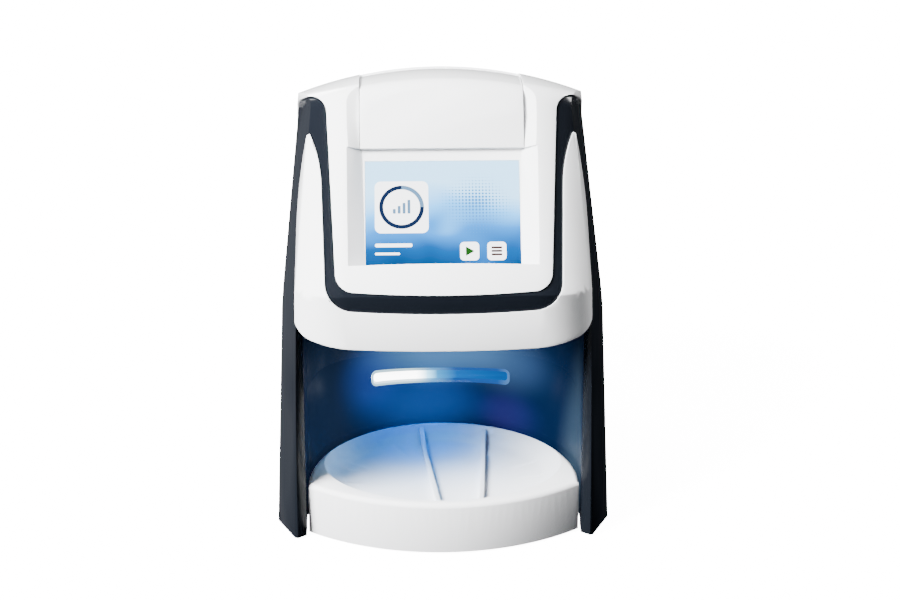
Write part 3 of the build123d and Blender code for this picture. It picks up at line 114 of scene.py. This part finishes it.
world = bpy.data.worlds.new("studio")
bpy.context.scene.world = world
world.use_nodes = True
nodes, links = world.node_tree.nodes, world.node_tree.links
heading = nodes.new("ShaderNodeTexCoord")
axes = nodes.new("ShaderNodeSeparateXYZ")
links.new(heading.outputs["Generated"], axes.inputs["Vector"])
side = nodes.new("ShaderNodeMapRange")
side.inputs["From Min"].default_value = -1.0
side.inputs["From Max"].default_value = 1.0
links.new(axes.outputs["X"], side.inputs["Value"])
walls = colour_ramp(nodes, [(0.0, (1.0, 1.04, 1.1)), (0.22, (0.6, 0.62, 0.66)), (0.36, (0.22, 0.23, 0.26)),
                            (0.5, (0.08, 0.085, 0.1)), (0.62, (0.02, 0.022, 0.026)),
                            (1.0, (0.03, 0.033, 0.036))])
links.new(side.outputs["Result"], walls.inputs["Fac"])
ceiling = nodes.new("ShaderNodeMapRange")
ceiling.inputs["From Min"].default_value = 0.25
ceiling.inputs["From Max"].default_value = 0.9
ceiling.inputs["To Max"].default_value = 0.75
links.new(axes.outputs["Z"], ceiling.inputs["Value"])
room = summed(nodes, links, walls.outputs["Color"], ceiling.outputs["Result"])
links.new(room, nodes["Background"].inputs["Color"])
nodes["Background"].inputs["Strength"].default_value = 0.55


def soft_box(name, place, look_at, size, power, colour=(1, 1, 1)):
    """A rectangular lamp, with its size in metres and its power in watts."""
    light = bpy.data.lights.new(name, "AREA")
    light.shape = "RECTANGLE"
    light.size, light.size_y = size
    light.energy = power
    light.color = colour
    lamp = bpy.data.objects.new(name, light)
    bpy.context.scene.collection.objects.link(lamp)
    lamp.location = place
    lamp.rotation_euler = (Vector(look_at) - Vector(place)).to_track_quat("-Z", "Y").to_euler()
    return lamp


key_box = soft_box("key_box", (-1.0, -0.77, 1.13), look_at=(0, -0.03, 0.1), size=(0.7, 0.7), power=200)
key_box.visible_glossy = False
front_box = soft_box("front_box", (-0.15, -1.35, 0.75), look_at=(0, 0, 0.1), size=(0.9, 0.5), power=3)
front_box.visible_glossy = False
soft_box("back_box", (-0.7, 1.2, 0.9), look_at=(0, 0.03, 0.1), size=(0.6, 0.6), power=22)
soft_box("edge_box", (1.0, 0.75, 0.55), look_at=(0, 0.03, 0.1), size=(0.5, 0.8), power=34)


# White shells: head cover, lid, front mask and rear housing are injection moulded in white, glossy
# plastic. They meet in fine seams, and every outer edge is drawn with a small radius.
def blended(nodes, links, share, first, second):
    """One colour turning into another as the share goes from nought to one."""
    mix = nodes.new("ShaderNodeMix")
    mix.data_type = "RGBA"
    links.new(share, mix.inputs[mix_share])
    for colour, socket in ((first, mix_first), (second, mix_second)):
        if isinstance(colour, tuple):
            mix.inputs[socket].default_value = (*colour, 1)
        else:
            links.new(colour, mix.inputs[socket])
    return mix.outputs[mix_result]


def moulded(name, colour, rough, coat=0.0, metal=0.0, specular=0.5, drift=0.02, cloud_size=30.0, grain=0.0):
    """A moulded or rolled surface: slow colour drift, uneven gloss and fine grain."""
    coat_rough = 0.05
    smoothest, roughest = rough * 0.8, min(1.0, rough * 1.25)
    grain_size, grain_depth = 1500.0, 0.0001
    material = bpy.data.materials.new(name)
    material.use_nodes = True
    nodes, links = material.node_tree.nodes, material.node_tree.links
    surface = nodes["Principled BSDF"]
    surface.inputs["Metallic"].default_value = metal
    surface.inputs["Coat Weight"].default_value = coat
    surface.inputs["Coat Roughness"].default_value = coat_rough
    surface.inputs["Specular IOR Level"].default_value = specular
    place = nodes.new("ShaderNodeTexCoord")
    cloud = nodes.new("ShaderNodeTexNoise")
    cloud.inputs["Scale"].default_value = cloud_size
    cloud.inputs["Detail"].default_value = 3.0
    links.new(place.outputs["Object"], cloud.inputs["Vector"])
    darker = tuple(value * (1 - drift) for value in colour)
    paler = tuple(min(1.0, value * (1 + drift)) for value in colour)
    links.new(blended(nodes, links, cloud.outputs["Fac"], darker, paler), surface.inputs["Base Color"])
    spread = nodes.new("ShaderNodeMapRange")
    spread.inputs["To Min"].default_value = smoothest
    spread.inputs["To Max"].default_value = roughest
    links.new(cloud.outputs["Fac"], spread.inputs["Value"])
    links.new(spread.outputs["Result"], surface.inputs["Roughness"])
    if grain:
        fine = nodes.new("ShaderNodeTexNoise")
        fine.inputs["Scale"].default_value = grain_size
        fine.inputs["Detail"].default_value = 2.0
        links.new(place.outputs["Object"], fine.inputs["Vector"])
        bump = nodes.new("ShaderNodeBump")
        bump.inputs["Strength"].default_value = grain
        bump.inputs["Distance"].default_value = grain_depth
        links.new(fine.outputs["Fac"], bump.inputs["Height"])
        links.new(bump.outputs["Normal"], surface.inputs["Normal"])
    return material


merge_distance = 0.000004
flat_angle = math.radians(0.4)
ridge_angle = math.radians(28.0)
crease_angle = math.radians(32.0)


def radiused(node, name, radius, material, body="root"):
    """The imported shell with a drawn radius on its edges."""
    piece = bpy.data.objects.new(name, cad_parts[node].data.copy())
    bpy.context.scene.collection.objects.link(piece)
    bpy.ops.object.select_all(action="DESELECT")
    bpy.context.view_layer.objects.active = piece
    piece.select_set(True)
    bpy.ops.object.mode_set(mode="EDIT")
    bpy.ops.mesh.select_all(action="SELECT")
    bpy.ops.mesh.remove_doubles(threshold=merge_distance)
    bpy.ops.mesh.dissolve_limited(angle_limit=flat_angle)
    bpy.ops.object.mode_set(mode="OBJECT")
    edge = piece.modifiers.new("edge_radius", "BEVEL")
    edge.width = radius
    edge.segments = 3
    edge.limit_method = "ANGLE"
    edge.angle_limit = ridge_angle
    bpy.ops.object.modifier_apply(modifier="edge_radius")
    bpy.ops.object.shade_smooth_by_angle(angle=crease_angle)
    piece.data.materials.clear()
    piece.data.materials.append(material)
    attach(piece, body)
    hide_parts(node)


shell_white = moulded("shell_white", (0.87, 0.875, 0.885), rough=0.18, coat=0.3, grain=0.03)
radiused("head_cover", "head_shell", 0.0011, shell_white)
radiused("top_lid", "lid_shell", 0.0005, shell_white)
radiused("front_mask", "mask_shell", 0.0005, shell_white)
radiused("rear_housing", "rear_shell", 0.0006, shell_white)


# Dark frame: one polished anthracite moulding that forms the band, the two loops and the arms, held
# between the white shells. The radius of its edges shows as a thin bright line along each ridge.
frame_dark = moulded("frame_anthracite", (0.0044, 0.0057, 0.0084), rough=0.17, specular=0.14, drift=0.1)
radiused("dark_frame", "frame_shell", 0.0008, frame_dark)


# Recess wall: a dark blue, satin moulding. The light of the slot on it is painted light, glowing in soft
# pools: blue around the slot, violet below its right end, a pale haze above it, and navy on both sides.
# A grey-teal painted reflection lies along the right rim.
def pool_of_light(nodes, links, spot, reach, core=0.0):
    """One within the core of an oval patch of space, falling softly to nothing at its edge: the mask of a
    pool of painted light.
    """
    centred = nodes.new("ShaderNodeMapping")
    centred.vector_type = "TEXTURE"
    centred.inputs["Location"].default_value = spot
    centred.inputs["Scale"].default_value = reach
    links.new(nodes["Texture Coordinate"].outputs["Object"], centred.inputs["Vector"])
    away = nodes.new("ShaderNodeVectorMath")
    away.operation = "LENGTH"
    links.new(centred.outputs["Vector"], away.inputs[0])
    fade = nodes.new("ShaderNodeMapRange")
    fade.interpolation_type = "SMOOTHERSTEP"
    fade.inputs["From Min"].default_value = core
    fade.inputs["To Min"].default_value = 1.0
    fade.inputs["To Max"].default_value = 0.0
    links.new(away.outputs["Value"], fade.inputs["Value"])
    return fade.outputs["Result"]


def dress(node, material):
    """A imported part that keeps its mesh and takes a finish."""
    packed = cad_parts[node]
    packed.data.materials.clear()
    packed.data.materials.append(material)


recess_blue = moulded("recess_blue", (0.0004, 0.001, 0.003), rough=0.35, specular=0.06, drift=0.15)
nodes, links = recess_blue.node_tree.nodes, recess_blue.node_tree.links
unlit = (0.0, 0.0, 0.0)
# Painted light: the place, reach and colour of each glowing pool painted on the wall.
painted_light_spot_reach_colour = {
    "below_slot": ((-0.008, -0.02, 0.036), (0.046, 0.2, 0.026), (0.0, 0.06, 0.31)),
    "above_slot": ((-0.002, -0.02, 0.061), (0.050, 0.2, 0.022), (0.10, 0.27, 0.58)),
    "left_of_slot": ((-0.033, -0.02, 0.050), (0.022, 0.2, 0.024), (0.015, 0.04, 0.22)),
    "left_side": ((-0.054, -0.04, 0.046), (0.034, 0.2, 0.062), (0.009, 0.02, 0.05)),
    "below_right_end": ((0.032, -0.03, 0.032), (0.022, 0.2, 0.017), (0.02, 0.012, 0.13)),
    "above_right_end": ((0.032, -0.03, 0.056), (0.030, 0.2, 0.021), (0.05, 0.11, 0.24)),
    "right_side": ((0.050, -0.04, 0.044), (0.032, 0.2, 0.060), (0.004, 0.022, 0.085)),
    "right_rim": ((0.062, -0.062, 0.040), (0.012, 0.035, 0.055), (0.055, 0.09, 0.115)),
    "whole_wall": ((0.0, -0.03, 0.035), (0.075, 0.3, 0.06), (0.0, 0.008, 0.045))}
glow = None
for spot, reach, colour in painted_light_spot_reach_colour.values():
    pool = blended(nodes, links, pool_of_light(nodes, links, spot, reach), unlit, colour)
    glow = summed(nodes, links, glow, pool) if glow else pool
surface = nodes["Principled BSDF"]
links.new(glow, surface.inputs["Emission Color"])
surface.inputs["Emission Strength"].default_value = 1.0
dress("recess_liner", recess_blue)


# Slot: a clear light guide frames the mouth. The block and the flap behind it are no lamps: the light
# inside the slot is painted on them as glow, bright at the left and fading through cyan to deep blue. A
# dark strip of painted shade marks the groove along the right half of the flap's face.
def lit(name, stops, strength, half_wide, base=(0.002, 0.004, 0.01)):
    """Glowing plastic whose colour runs along X from one side of the middle to the other."""
    material = bpy.data.materials.new(name)
    material.use_nodes = True
    nodes, links = material.node_tree.nodes, material.node_tree.links
    surface = nodes["Principled BSDF"]
    surface.inputs["Base Color"].default_value = (*base, 1)
    surface.inputs["Roughness"].default_value = 0.15
    place = nodes.new("ShaderNodeTexCoord")
    parts = nodes.new("ShaderNodeSeparateXYZ")
    links.new(place.outputs["Object"], parts.inputs["Vector"])
    along = nodes.new("ShaderNodeMapRange")
    along.inputs["From Min"].default_value = -half_wide
    along.inputs["From Max"].default_value = half_wide
    links.new(parts.outputs["X"], along.inputs["Value"])
    colours = colour_ramp(nodes, stops)
    links.new(along.outputs["Result"], colours.inputs["Fac"])
    links.new(colours.outputs["Color"], surface.inputs["Emission Color"])
    surface.inputs["Emission Strength"].default_value = strength
    return material


def bevelled_block(name, size, radius, segments):
    """A small block about the origin, its edges rounded."""
    bpy.ops.object.select_all(action="DESELECT")
    bpy.ops.mesh.primitive_cube_add(size=1.0, location=(0, 0, 0))
    block = bpy.context.object
    block.name = name
    block.scale = size
    bpy.ops.object.transform_apply(location=False, rotation=False, scale=True)
    bpy.ops.object.mode_set(mode="EDIT")
    bpy.ops.mesh.select_all(action="SELECT")
    bpy.ops.mesh.bevel(offset=radius, segments=segments, affect="EDGES")
    bpy.ops.object.mode_set(mode="OBJECT")
    return block


slot_half = 0.0345
guide_glow = lit("guide_glow", [(0.0, (0.5, 0.8, 1.0)), (0.3, (0.6, 0.9, 1.0)), (0.44, (0.1, 0.35, 0.7)),
                                (0.6, (0.01, 0.07, 0.3)), (0.9, (0.01, 0.07, 0.3)),
                                (1.0, (0.08, 0.2, 0.45))],
                 strength=1.6, half_wide=slot_half)
# Painted light: the throat block and the shutter flap glow with the light that falls into the slot.
throat_painted_light = lit("throat_painted_light", [(0.0, (1.0, 1.0, 1.0)), (0.33, (1.0, 1.0, 1.0)), (0.41, (0.12, 0.3, 0.42)),
                                  (0.48, (0.008, 0.065, 0.14)), (0.62, (0.001, 0.02, 0.075)),
                                  (1.0, (0.0, 0.012, 0.05))],
                  strength=9.0, half_wide=slot_half)
dress("slot_frame", guide_glow)
dress("slot_throat", throat_painted_light)
dress("shutter_flap", throat_painted_light)

low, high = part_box("slot_frame")
groove_middle = (0.0185, -0.0048, (low.z + high.z) / 2)
# Painted shade: a dark strip laid on the flap stands for the shade inside the feed groove.
groove_painted_shade = moulded("groove_painted_shade", (0.001, 0.004, 0.02), rough=0.4, specular=0.1)
groove = bevelled_block("feed_groove", (0.0250, 0.0004, 0.0008), radius=0.00015, segments=2)
groove.data.transform(Matrix.Translation(groove_middle))
groove.data.materials.append(groove_painted_shade)
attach(groove, "shutter")

slot_light = soft_box("slot_light", (-0.012, -0.024, 0.046), look_at=(-0.015, -0.06, 0.0),
                      size=(0.05, 0.006), power=0.05, colour=(0.12, 0.5, 1.0))
slot_light.visible_glossy = False


# Receiving tray: a white moulding with an oval bowl, which slides on the base plate. Two ribs run
# through the bowl from back to front, so that a thin plate lies clear of the floor. The blue light of
# the slot on its back half is painted light, a blue blended into the white of the moulding.
tray_white = moulded("tray_white", (0.87, 0.875, 0.89), rough=0.34, coat=0.06, grain=0.03)
nodes, links = tray_white.node_tree.nodes, tray_white.node_tree.links
surface = nodes["Principled BSDF"]
# Painted light of the slot: blue blended into the base colour over the back of the bowl.
painted_slot_light_blue = (0.036, 0.135, 0.33)
painted_light_share = pool_of_light(nodes, links, spot=(-0.016, -0.010, 0.02), reach=(0.094, 0.088, 0.06), core=0.16)
plain_white = surface.inputs["Base Color"].links[0].from_socket
links.new(blended(nodes, links, painted_light_share, plain_white, painted_slot_light_blue), surface.inputs["Base Color"])
radiused("tray", "tray_shell", 0.0006, tray_white, body="tray")


# Touch screen: its lit picture is a thin film laid on the leaning pane of glass. It shows a plain idle
# screen, a pale to deep blue field with a patch of dots.
screen_lean = math.radians(36)
pane_half_thick = 0.0009
picture_wide, picture_tall = 0.0696, 0.0502
film_thick, film_lift = 0.00003, 0.00001
glass_up = Vector((0, math.sin(screen_lean), math.cos(screen_lean)))
glass_out = Vector((0, -math.cos(screen_lean), math.sin(screen_lean)))
low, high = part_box("touch_glass")
glass_middle = (low + high) / 2 + glass_out * pane_half_thick
on_glass = Matrix.Translation(glass_middle) @ Matrix(
    ((1, 0, 0), (0, glass_up.y, glass_out.y), (0, glass_up.z, glass_out.z))).to_4x4()

picture = bpy.data.materials.new("idle_picture")
picture.use_nodes = True
nodes, links = picture.node_tree.nodes, picture.node_tree.links
surface = nodes["Principled BSDF"]
surface.inputs["Base Color"].default_value = (0.001, 0.001, 0.001, 1)
surface.inputs["Roughness"].default_value = 0.12
surface.inputs["Specular IOR Level"].default_value = 0.1
place = nodes.new("ShaderNodeUVMap")
parts = nodes.new("ShaderNodeSeparateXYZ")
links.new(place.outputs["UV"], parts.inputs["Vector"])
cloud = nodes.new("ShaderNodeTexNoise")
cloud.inputs["Scale"].default_value = 2.2
cloud.inputs["Detail"].default_value = 1.0
cloud.inputs["Distortion"].default_value = 0.6
links.new(place.outputs["UV"], cloud.inputs["Vector"])
cloud_strength = 0.55
lift = nodes.new("ShaderNodeMath")
lift.operation = "MULTIPLY_ADD"
lift.inputs[1].default_value = cloud_strength
links.new(cloud.outputs["Fac"], lift.inputs[0])
links.new(parts.outputs["Y"], lift.inputs[2])
field = colour_ramp(nodes, [(0.22, (0.0, 0.022, 0.085)), (0.42, (0.0, 0.055, 0.21)),
                            (0.6, (0.008, 0.16, 0.5)), (0.78, (0.08, 0.4, 0.88)),
                            (1.0, (0.34, 0.68, 1.0))])
links.new(lift.outputs["Value"], field.inputs["Fac"])
dot_columns, dot_rows = 46.0, 33.2
dot_place = nodes.new("ShaderNodeMapping")
dot_place.inputs["Scale"].default_value = (dot_columns, dot_rows, 1.0)
links.new(place.outputs["UV"], dot_place.inputs["Vector"])
dots = nodes.new("ShaderNodeTexVoronoi")
dots.voronoi_dimensions = "2D"
dots.inputs["Scale"].default_value = 1.0
dots.inputs["Randomness"].default_value = 0.0
links.new(dot_place.outputs["Vector"], dots.inputs["Vector"])
patch_place = nodes.new("ShaderNodeMapping")
patch_place.vector_type = "TEXTURE"
patch_place.inputs["Location"].default_value = (0.72, 0.6, 0.0)
patch_place.inputs["Scale"].default_value = (0.3, 0.34, 1.0)
links.new(place.outputs["UV"], patch_place.inputs["Vector"])
patch = nodes.new("ShaderNodeVectorMath")
patch.operation = "LENGTH"
links.new(patch_place.outputs["Vector"], patch.inputs[0])
largest_dot = 0.42
dot_size = nodes.new("ShaderNodeMapRange")
dot_size.inputs["From Min"].default_value = 0.1
dot_size.inputs["From Max"].default_value = 1.0
dot_size.inputs["To Min"].default_value = largest_dot
dot_size.inputs["To Max"].default_value = 0.0
links.new(patch.outputs["Value"], dot_size.inputs["Value"])
inside_dot = nodes.new("ShaderNodeMath")
inside_dot.operation = "LESS_THAN"
links.new(dots.outputs["Distance"], inside_dot.inputs[0])
links.new(dot_size.outputs["Result"], inside_dot.inputs[1])
dot_blue = (0.03, 0.16, 0.42)
dotted = blended(nodes, links, inside_dot.outputs["Value"], field.outputs["Color"], dot_blue)
links.new(dotted, surface.inputs["Emission Color"])
surface.inputs["Emission Strength"].default_value = 4.5


def on_screen(name, size, middle, corner, thick, lift_off, material):
    """A flat shape with rounded corners, laid on the glass."""
    wide, tall = size
    x, y = middle
    bpy.ops.object.select_all(action="DESELECT")
    bpy.ops.mesh.primitive_plane_add(size=1.0, location=(0, 0, 0))
    piece = bpy.context.object
    piece.name = name
    piece.scale = (wide, tall, 1)
    bpy.ops.object.transform_apply(location=False, rotation=False, scale=True)
    if corner:
        bpy.ops.object.mode_set(mode="EDIT")
        bpy.ops.mesh.select_all(action="SELECT")
        bpy.ops.mesh.bevel(offset=corner, segments=6, affect="VERTICES")
        bpy.ops.object.mode_set(mode="OBJECT")
    layer = piece.modifiers.new("thickness", "SOLIDIFY")
    layer.thickness = thick
    layer.offset = 1.0
    bpy.ops.object.modifier_apply(modifier="thickness")
    piece.data.transform(on_glass @ Matrix.Translation((x, y, lift_off)))
    piece.data.materials.append(material)
    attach(piece, "root")


on_screen("screen_picture", (picture_wide, picture_tall), (0, 0), 0, film_thick, film_lift, picture)


# Marks on the screen: thin layers of glowing ink on the film. They are a dial with three quarters of
# its ring filled, a short bar graph, two lines of filler, and two white buttons, one with a green
# triangle and one with three brown bars.
def flat_ink(name, colour, strength):
    """An even, glowing colour that fades a little to the right."""
    screen_half, fade = 0.035, 0.93
    faded = tuple(value * fade for value in colour)
    return lit(name, [(0.0, colour), (1.0, faded)], strength, screen_half, base=(0.0005, 0.0005, 0.0005))


ink_white = flat_ink("ink_white", (0.95, 0.97, 1.0), 5.0)
ink_navy = flat_ink("ink_navy", (0.002, 0.03, 0.14), 1.0)
ink_slate = flat_ink("ink_slate", (0.2, 0.42, 0.7), 1.6)
ink_green = flat_ink("ink_green", (0.02, 0.3, 0.01), 0.7)
ink_brown = flat_ink("ink_brown", (0.12, 0.03, 0.01), 0.8)
ink_thick, card_lift, mark_lift = 0.00004, 0.0001, 0.0002

dial_x, dial_y, dial_radius, ring_thick = -0.0185, 0.0035, 0.0092, 0.0009
card_size, card_corner = (0.0242, 0.0242), 0.0028
ring_flatness = 0.02
on_screen("dial_card", card_size, (dial_x, dial_y), card_corner, ink_thick, card_lift, ink_white)
for name, ink, share_left_out, lift_off in (("dial_track", ink_slate, 0.0, 0.0002),
                                            ("dial_progress", ink_navy, 0.25, 0.00026)):
    bpy.ops.object.select_all(action="DESELECT")
    bpy.ops.mesh.primitive_torus_add(major_radius=dial_radius, minor_radius=ring_thick, major_segments=64,
                                     minor_segments=10)
    ring = bpy.context.object
    ring.name = name
    ring.scale = (1, 1, ring_flatness)
    bpy.ops.object.transform_apply(location=False, rotation=False, scale=True)
    # The share that is left out is cut away, and both ends of what stays are closed.
    if share_left_out:
        for face in ring.data.polygons:
            turn = (math.atan2(face.center.x, face.center.y) / math.tau) % 1.0
            face.select = turn < share_left_out
        bpy.context.tool_settings.mesh_select_mode = (False, False, True)
        bpy.ops.object.mode_set(mode="EDIT")
        bpy.ops.mesh.delete(type="FACE")
        bpy.ops.mesh.select_all(action="DESELECT")
        bpy.context.tool_settings.mesh_select_mode = (False, True, False)
        bpy.ops.mesh.select_non_manifold()
        bpy.ops.mesh.edge_face_add()
        bpy.ops.object.mode_set(mode="OBJECT")
    ring.data.transform(on_glass @ Matrix.Translation((dial_x, dial_y, lift_off)))
    ring.data.materials.append(ink)
    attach(ring, "root")

bar_wide, bar_pitch, bar_corner = 0.0013, 0.0022, 0.0003
first_bar_tall, bar_growth = 0.0022, 0.0014
first_bar_x, bar_foot = dial_x - 0.0033, dial_y - 0.0030
for step in range(4):
    bar_tall = first_bar_tall + bar_growth * step
    bar_middle = (first_bar_x + bar_pitch * step, bar_foot + bar_tall / 2)
    on_screen(f"graph_bar_{step + 1}", (bar_wide, bar_tall), bar_middle, bar_corner, ink_thick, mark_lift,
              ink_slate)

for name, size, middle, corner in (
        ("filler_line_upper", (0.0168, 0.0017), (-0.0222, -0.0142), 0.0008),
        ("filler_line_lower", (0.0112, 0.0011), (-0.0250, -0.0181), 0.0005),
        ("button_left", (0.0086, 0.0086), (0.0118, -0.0172), 0.0018),
        ("button_right", (0.0086, 0.0086), (0.0240, -0.0172), 0.0018)):
    on_screen(name, size, middle, corner, ink_thick, card_lift, ink_white)

start_radius, start_corner = 0.0026, 0.0004
start_place = (0.0114, -0.0172, 0.00016)
bpy.ops.object.select_all(action="DESELECT")
bpy.ops.mesh.primitive_circle_add(vertices=3, radius=start_radius, fill_type="NGON", location=(0, 0, 0))
start_mark = bpy.context.object
start_mark.name = "start_mark"
start_mark.rotation_euler = (0, 0, -math.pi / 2)
bpy.ops.object.transform_apply(location=False, rotation=True, scale=False)
bpy.ops.object.mode_set(mode="EDIT")
bpy.ops.mesh.select_all(action="SELECT")
bpy.ops.mesh.bevel(offset=start_corner, segments=4, affect="VERTICES")
bpy.ops.mesh.extrude_region_move(TRANSFORM_OT_translate={"value": (0, 0, ink_thick)})
bpy.ops.object.mode_set(mode="OBJECT")
start_mark.data.transform(on_glass @ Matrix.Translation(start_place))
start_mark.data.materials.append(ink_green)
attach(start_mark, "root")

list_size, list_corner = (0.0048, 0.0009), 0.0003
list_x, list_top, list_pitch = 0.0240, -0.0156, 0.0016
for row in range(3):
    list_middle = (list_x, list_top - list_pitch * row)
    on_screen(f"list_mark_{row + 1}", list_size, list_middle, list_corner, ink_thick, mark_lift, ink_brown)


# Screen unit: a strengthened pane let into the floor of the screen recess, over a panel in a folded
# aluminium can. A lacquered board stands behind the panel on four spacers.
screen_pane = moulded("screen_pane", (0.004, 0.006, 0.01), rough=0.06, specular=0.3)
can_metal = moulded("can_metal", (0.68, 0.69, 0.7), rough=0.35, metal=1.0, grain=0.1)
board_lacquer = moulded("board_lacquer", (0.015, 0.12, 0.05), rough=0.35, drift=0.2, cloud_size=300.0)
dress("touch_glass", screen_pane)
dress("display_board", board_lacquer)
radiused("lcd_panel", "panel_can", 0.0003, can_metal)


# Underside: a grained black plate with four screws up into the chassis, and rubber feet pressed into
# it. The plate's edge and the feet have moulded radii.
black_grain = moulded("black_grain", (0.012, 0.012, 0.014), rough=0.5, grain=0.3, specular=0.4)
foot_rubber = moulded("foot_rubber", (0.02, 0.02, 0.02), rough=0.85, grain=0.5)
plated_steel = moulded("plated_steel", (0.5, 0.5, 0.52), rough=0.3, metal=1.0, grain=0.1)
radiused("base_plate", "plate_moulding", 0.0004, black_grain)
radiused("rubber_feet", "feet_moulding", 0.0004, foot_rubber)
radiused("base_screws", "screws_turned", 0.0002, plated_steel)


# Rear sockets: a tin-plated network shell with eight gilded springs and two small lamps, and beside it
# a round power socket and a rocker switch in black plastic, all set in openings of the rear wall.
port_tin = moulded("port_tin", (0.7, 0.7, 0.72), rough=0.2, metal=1.0)
spring_gilt = moulded("spring_gilt", (0.85, 0.6, 0.22), rough=0.25, metal=1.0)
lamp_green = moulded("lamp_green", (0.05, 0.4, 0.08), rough=0.3, coat=0.4)
lamp_amber = moulded("lamp_amber", (0.7, 0.3, 0.03), rough=0.3, coat=0.4)
rocker_satin = moulded("rocker_black", (0.02, 0.02, 0.022), rough=0.35, grain=0.1)
radiused("network_port", "port_shell", 0.0002, port_tin)

low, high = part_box("network_port")
spring_count, spring_pitch = 8, 0.00102
spring_droop = Matrix.Rotation(math.radians(28), 4, "X")
spring_back, spring_below_top = 0.0054, 0.0034
first_spring_x = (low.x + high.x) / 2 - spring_pitch * (spring_count - 1) / 2
springs = [bevelled_block("port_spring_1", (0.00045, 0.0080, 0.00025), radius=0.0001, segments=2)]
for number in range(2, spring_count + 1):
    twin = bpy.data.objects.new(f"port_spring_{number}", springs[0].data.copy())
    bpy.context.scene.collection.objects.link(twin)
    springs.append(twin)
for step, spring in enumerate(springs):
    spring_place = (first_spring_x + spring_pitch * step, high.y - spring_back, high.z - spring_below_top)
    spring.data.transform(Matrix.Translation(spring_place) @ spring_droop)
    spring.data.materials.append(spring_gilt)
    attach(spring, "root")

lamp_inset, lamp_proud, lamp_up = 0.0026, 0.00005, 0.0006
for name, lamp_x, lamp_colour in (("port_lamp_green", low.x + lamp_inset, lamp_green),
                                  ("port_lamp_amber", high.x - lamp_inset, lamp_amber)):
    lamp = bevelled_block(name, (0.0024, 0.0003, 0.0007), radius=0.00012, segments=3)
    lamp.data.transform(Matrix.Translation((lamp_x, high.y + lamp_proud, low.z + lamp_up)))
    lamp.data.materials.append(lamp_colour)
    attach(lamp, "root")
radiused("power_inlet", "power_socket", 0.0003, black_grain)
radiused("switch_body", "switch_case", 0.0003, black_grain)
radiused("power_rocker", "rocker_key", 0.0003, rocker_satin, body="rocker")


# Fan: a moulded square frame in its seat inside the vents of the rear housing, and its impeller on a
# shaft, both in grained black plastic.
radiused("fan_frame", "fan_moulding", 0.0003, black_grain)
dress("fan_impeller", black_grain)


# Feed: folded zinc-plated chassis and guides, rubber-covered rollers in brass bushes, and acetal gears
# that a small stepper motor turns by its steel pinion.
zinc_sheet = moulded("zinc_sheet", (0.6, 0.61, 0.64), rough=0.35, metal=1.0, drift=0.12, cloud_size=220.0)
roller_rubber = moulded("roller_rubber", (0.09, 0.09, 0.1), rough=0.7, grain=0.4)
gear_acetal = moulded("gear_acetal", (0.8, 0.79, 0.74), rough=0.4, grain=0.05)
bush_brass = moulded("bush_brass", (0.72, 0.53, 0.26), rough=0.3, metal=1.0)
motor_black = moulded("motor_black", (0.02, 0.02, 0.022), rough=0.4, grain=0.2)
for sheet in ("chassis", "feed_table", "upper_guide"):
    dress(sheet, zinc_sheet)
for roller in ("front_drive_roller", "rear_drive_roller", "front_pinch_roller", "rear_pinch_roller"):
    dress(roller, roller_rubber)
for gear in ("front_gear", "rear_gear", "idler_gear"):
    dress(gear, gear_acetal)
dress("motor_pinion", plated_steel)
dress("roller_bushes", bush_brass)
radiused("stepper_motor", "motor_case", 0.0005, motor_black)


# Scan head: a cast aluminium bridge carries the laser, the mirror on its spindle motor, the clear guide
# that gathers the light of the plate, the light sensor in its can, and the eraser lamp. The lacquered
# main board stands upright behind them.
cast_aluminium = moulded("cast_aluminium", (0.66, 0.67, 0.69), rough=0.45, metal=1.0, grain=0.4)
mirror_face = moulded("mirror_face", (0.92, 0.93, 0.95), rough=0.04, metal=1.0)
clear_guide = moulded("clear_guide", (0.75, 0.88, 0.95), rough=0.1, coat=0.5)
lamp_white = moulded("lamp_white", (0.86, 0.86, 0.82), rough=0.5)
radiused("scan_bridge", "bridge_casting", 0.0004, cast_aluminium)
radiused("spindle_motor", "spindle_case", 0.0003, cast_aluminium)
radiused("laser_module", "laser_case", 0.0003, bush_brass)
radiused("photomultiplier", "sensor_can", 0.0004, can_metal)
dress("mirror", mirror_face)
dress("light_guide", clear_guide)
dress("eraser_lamp", lamp_white)
dress("main_board", board_lacquer)
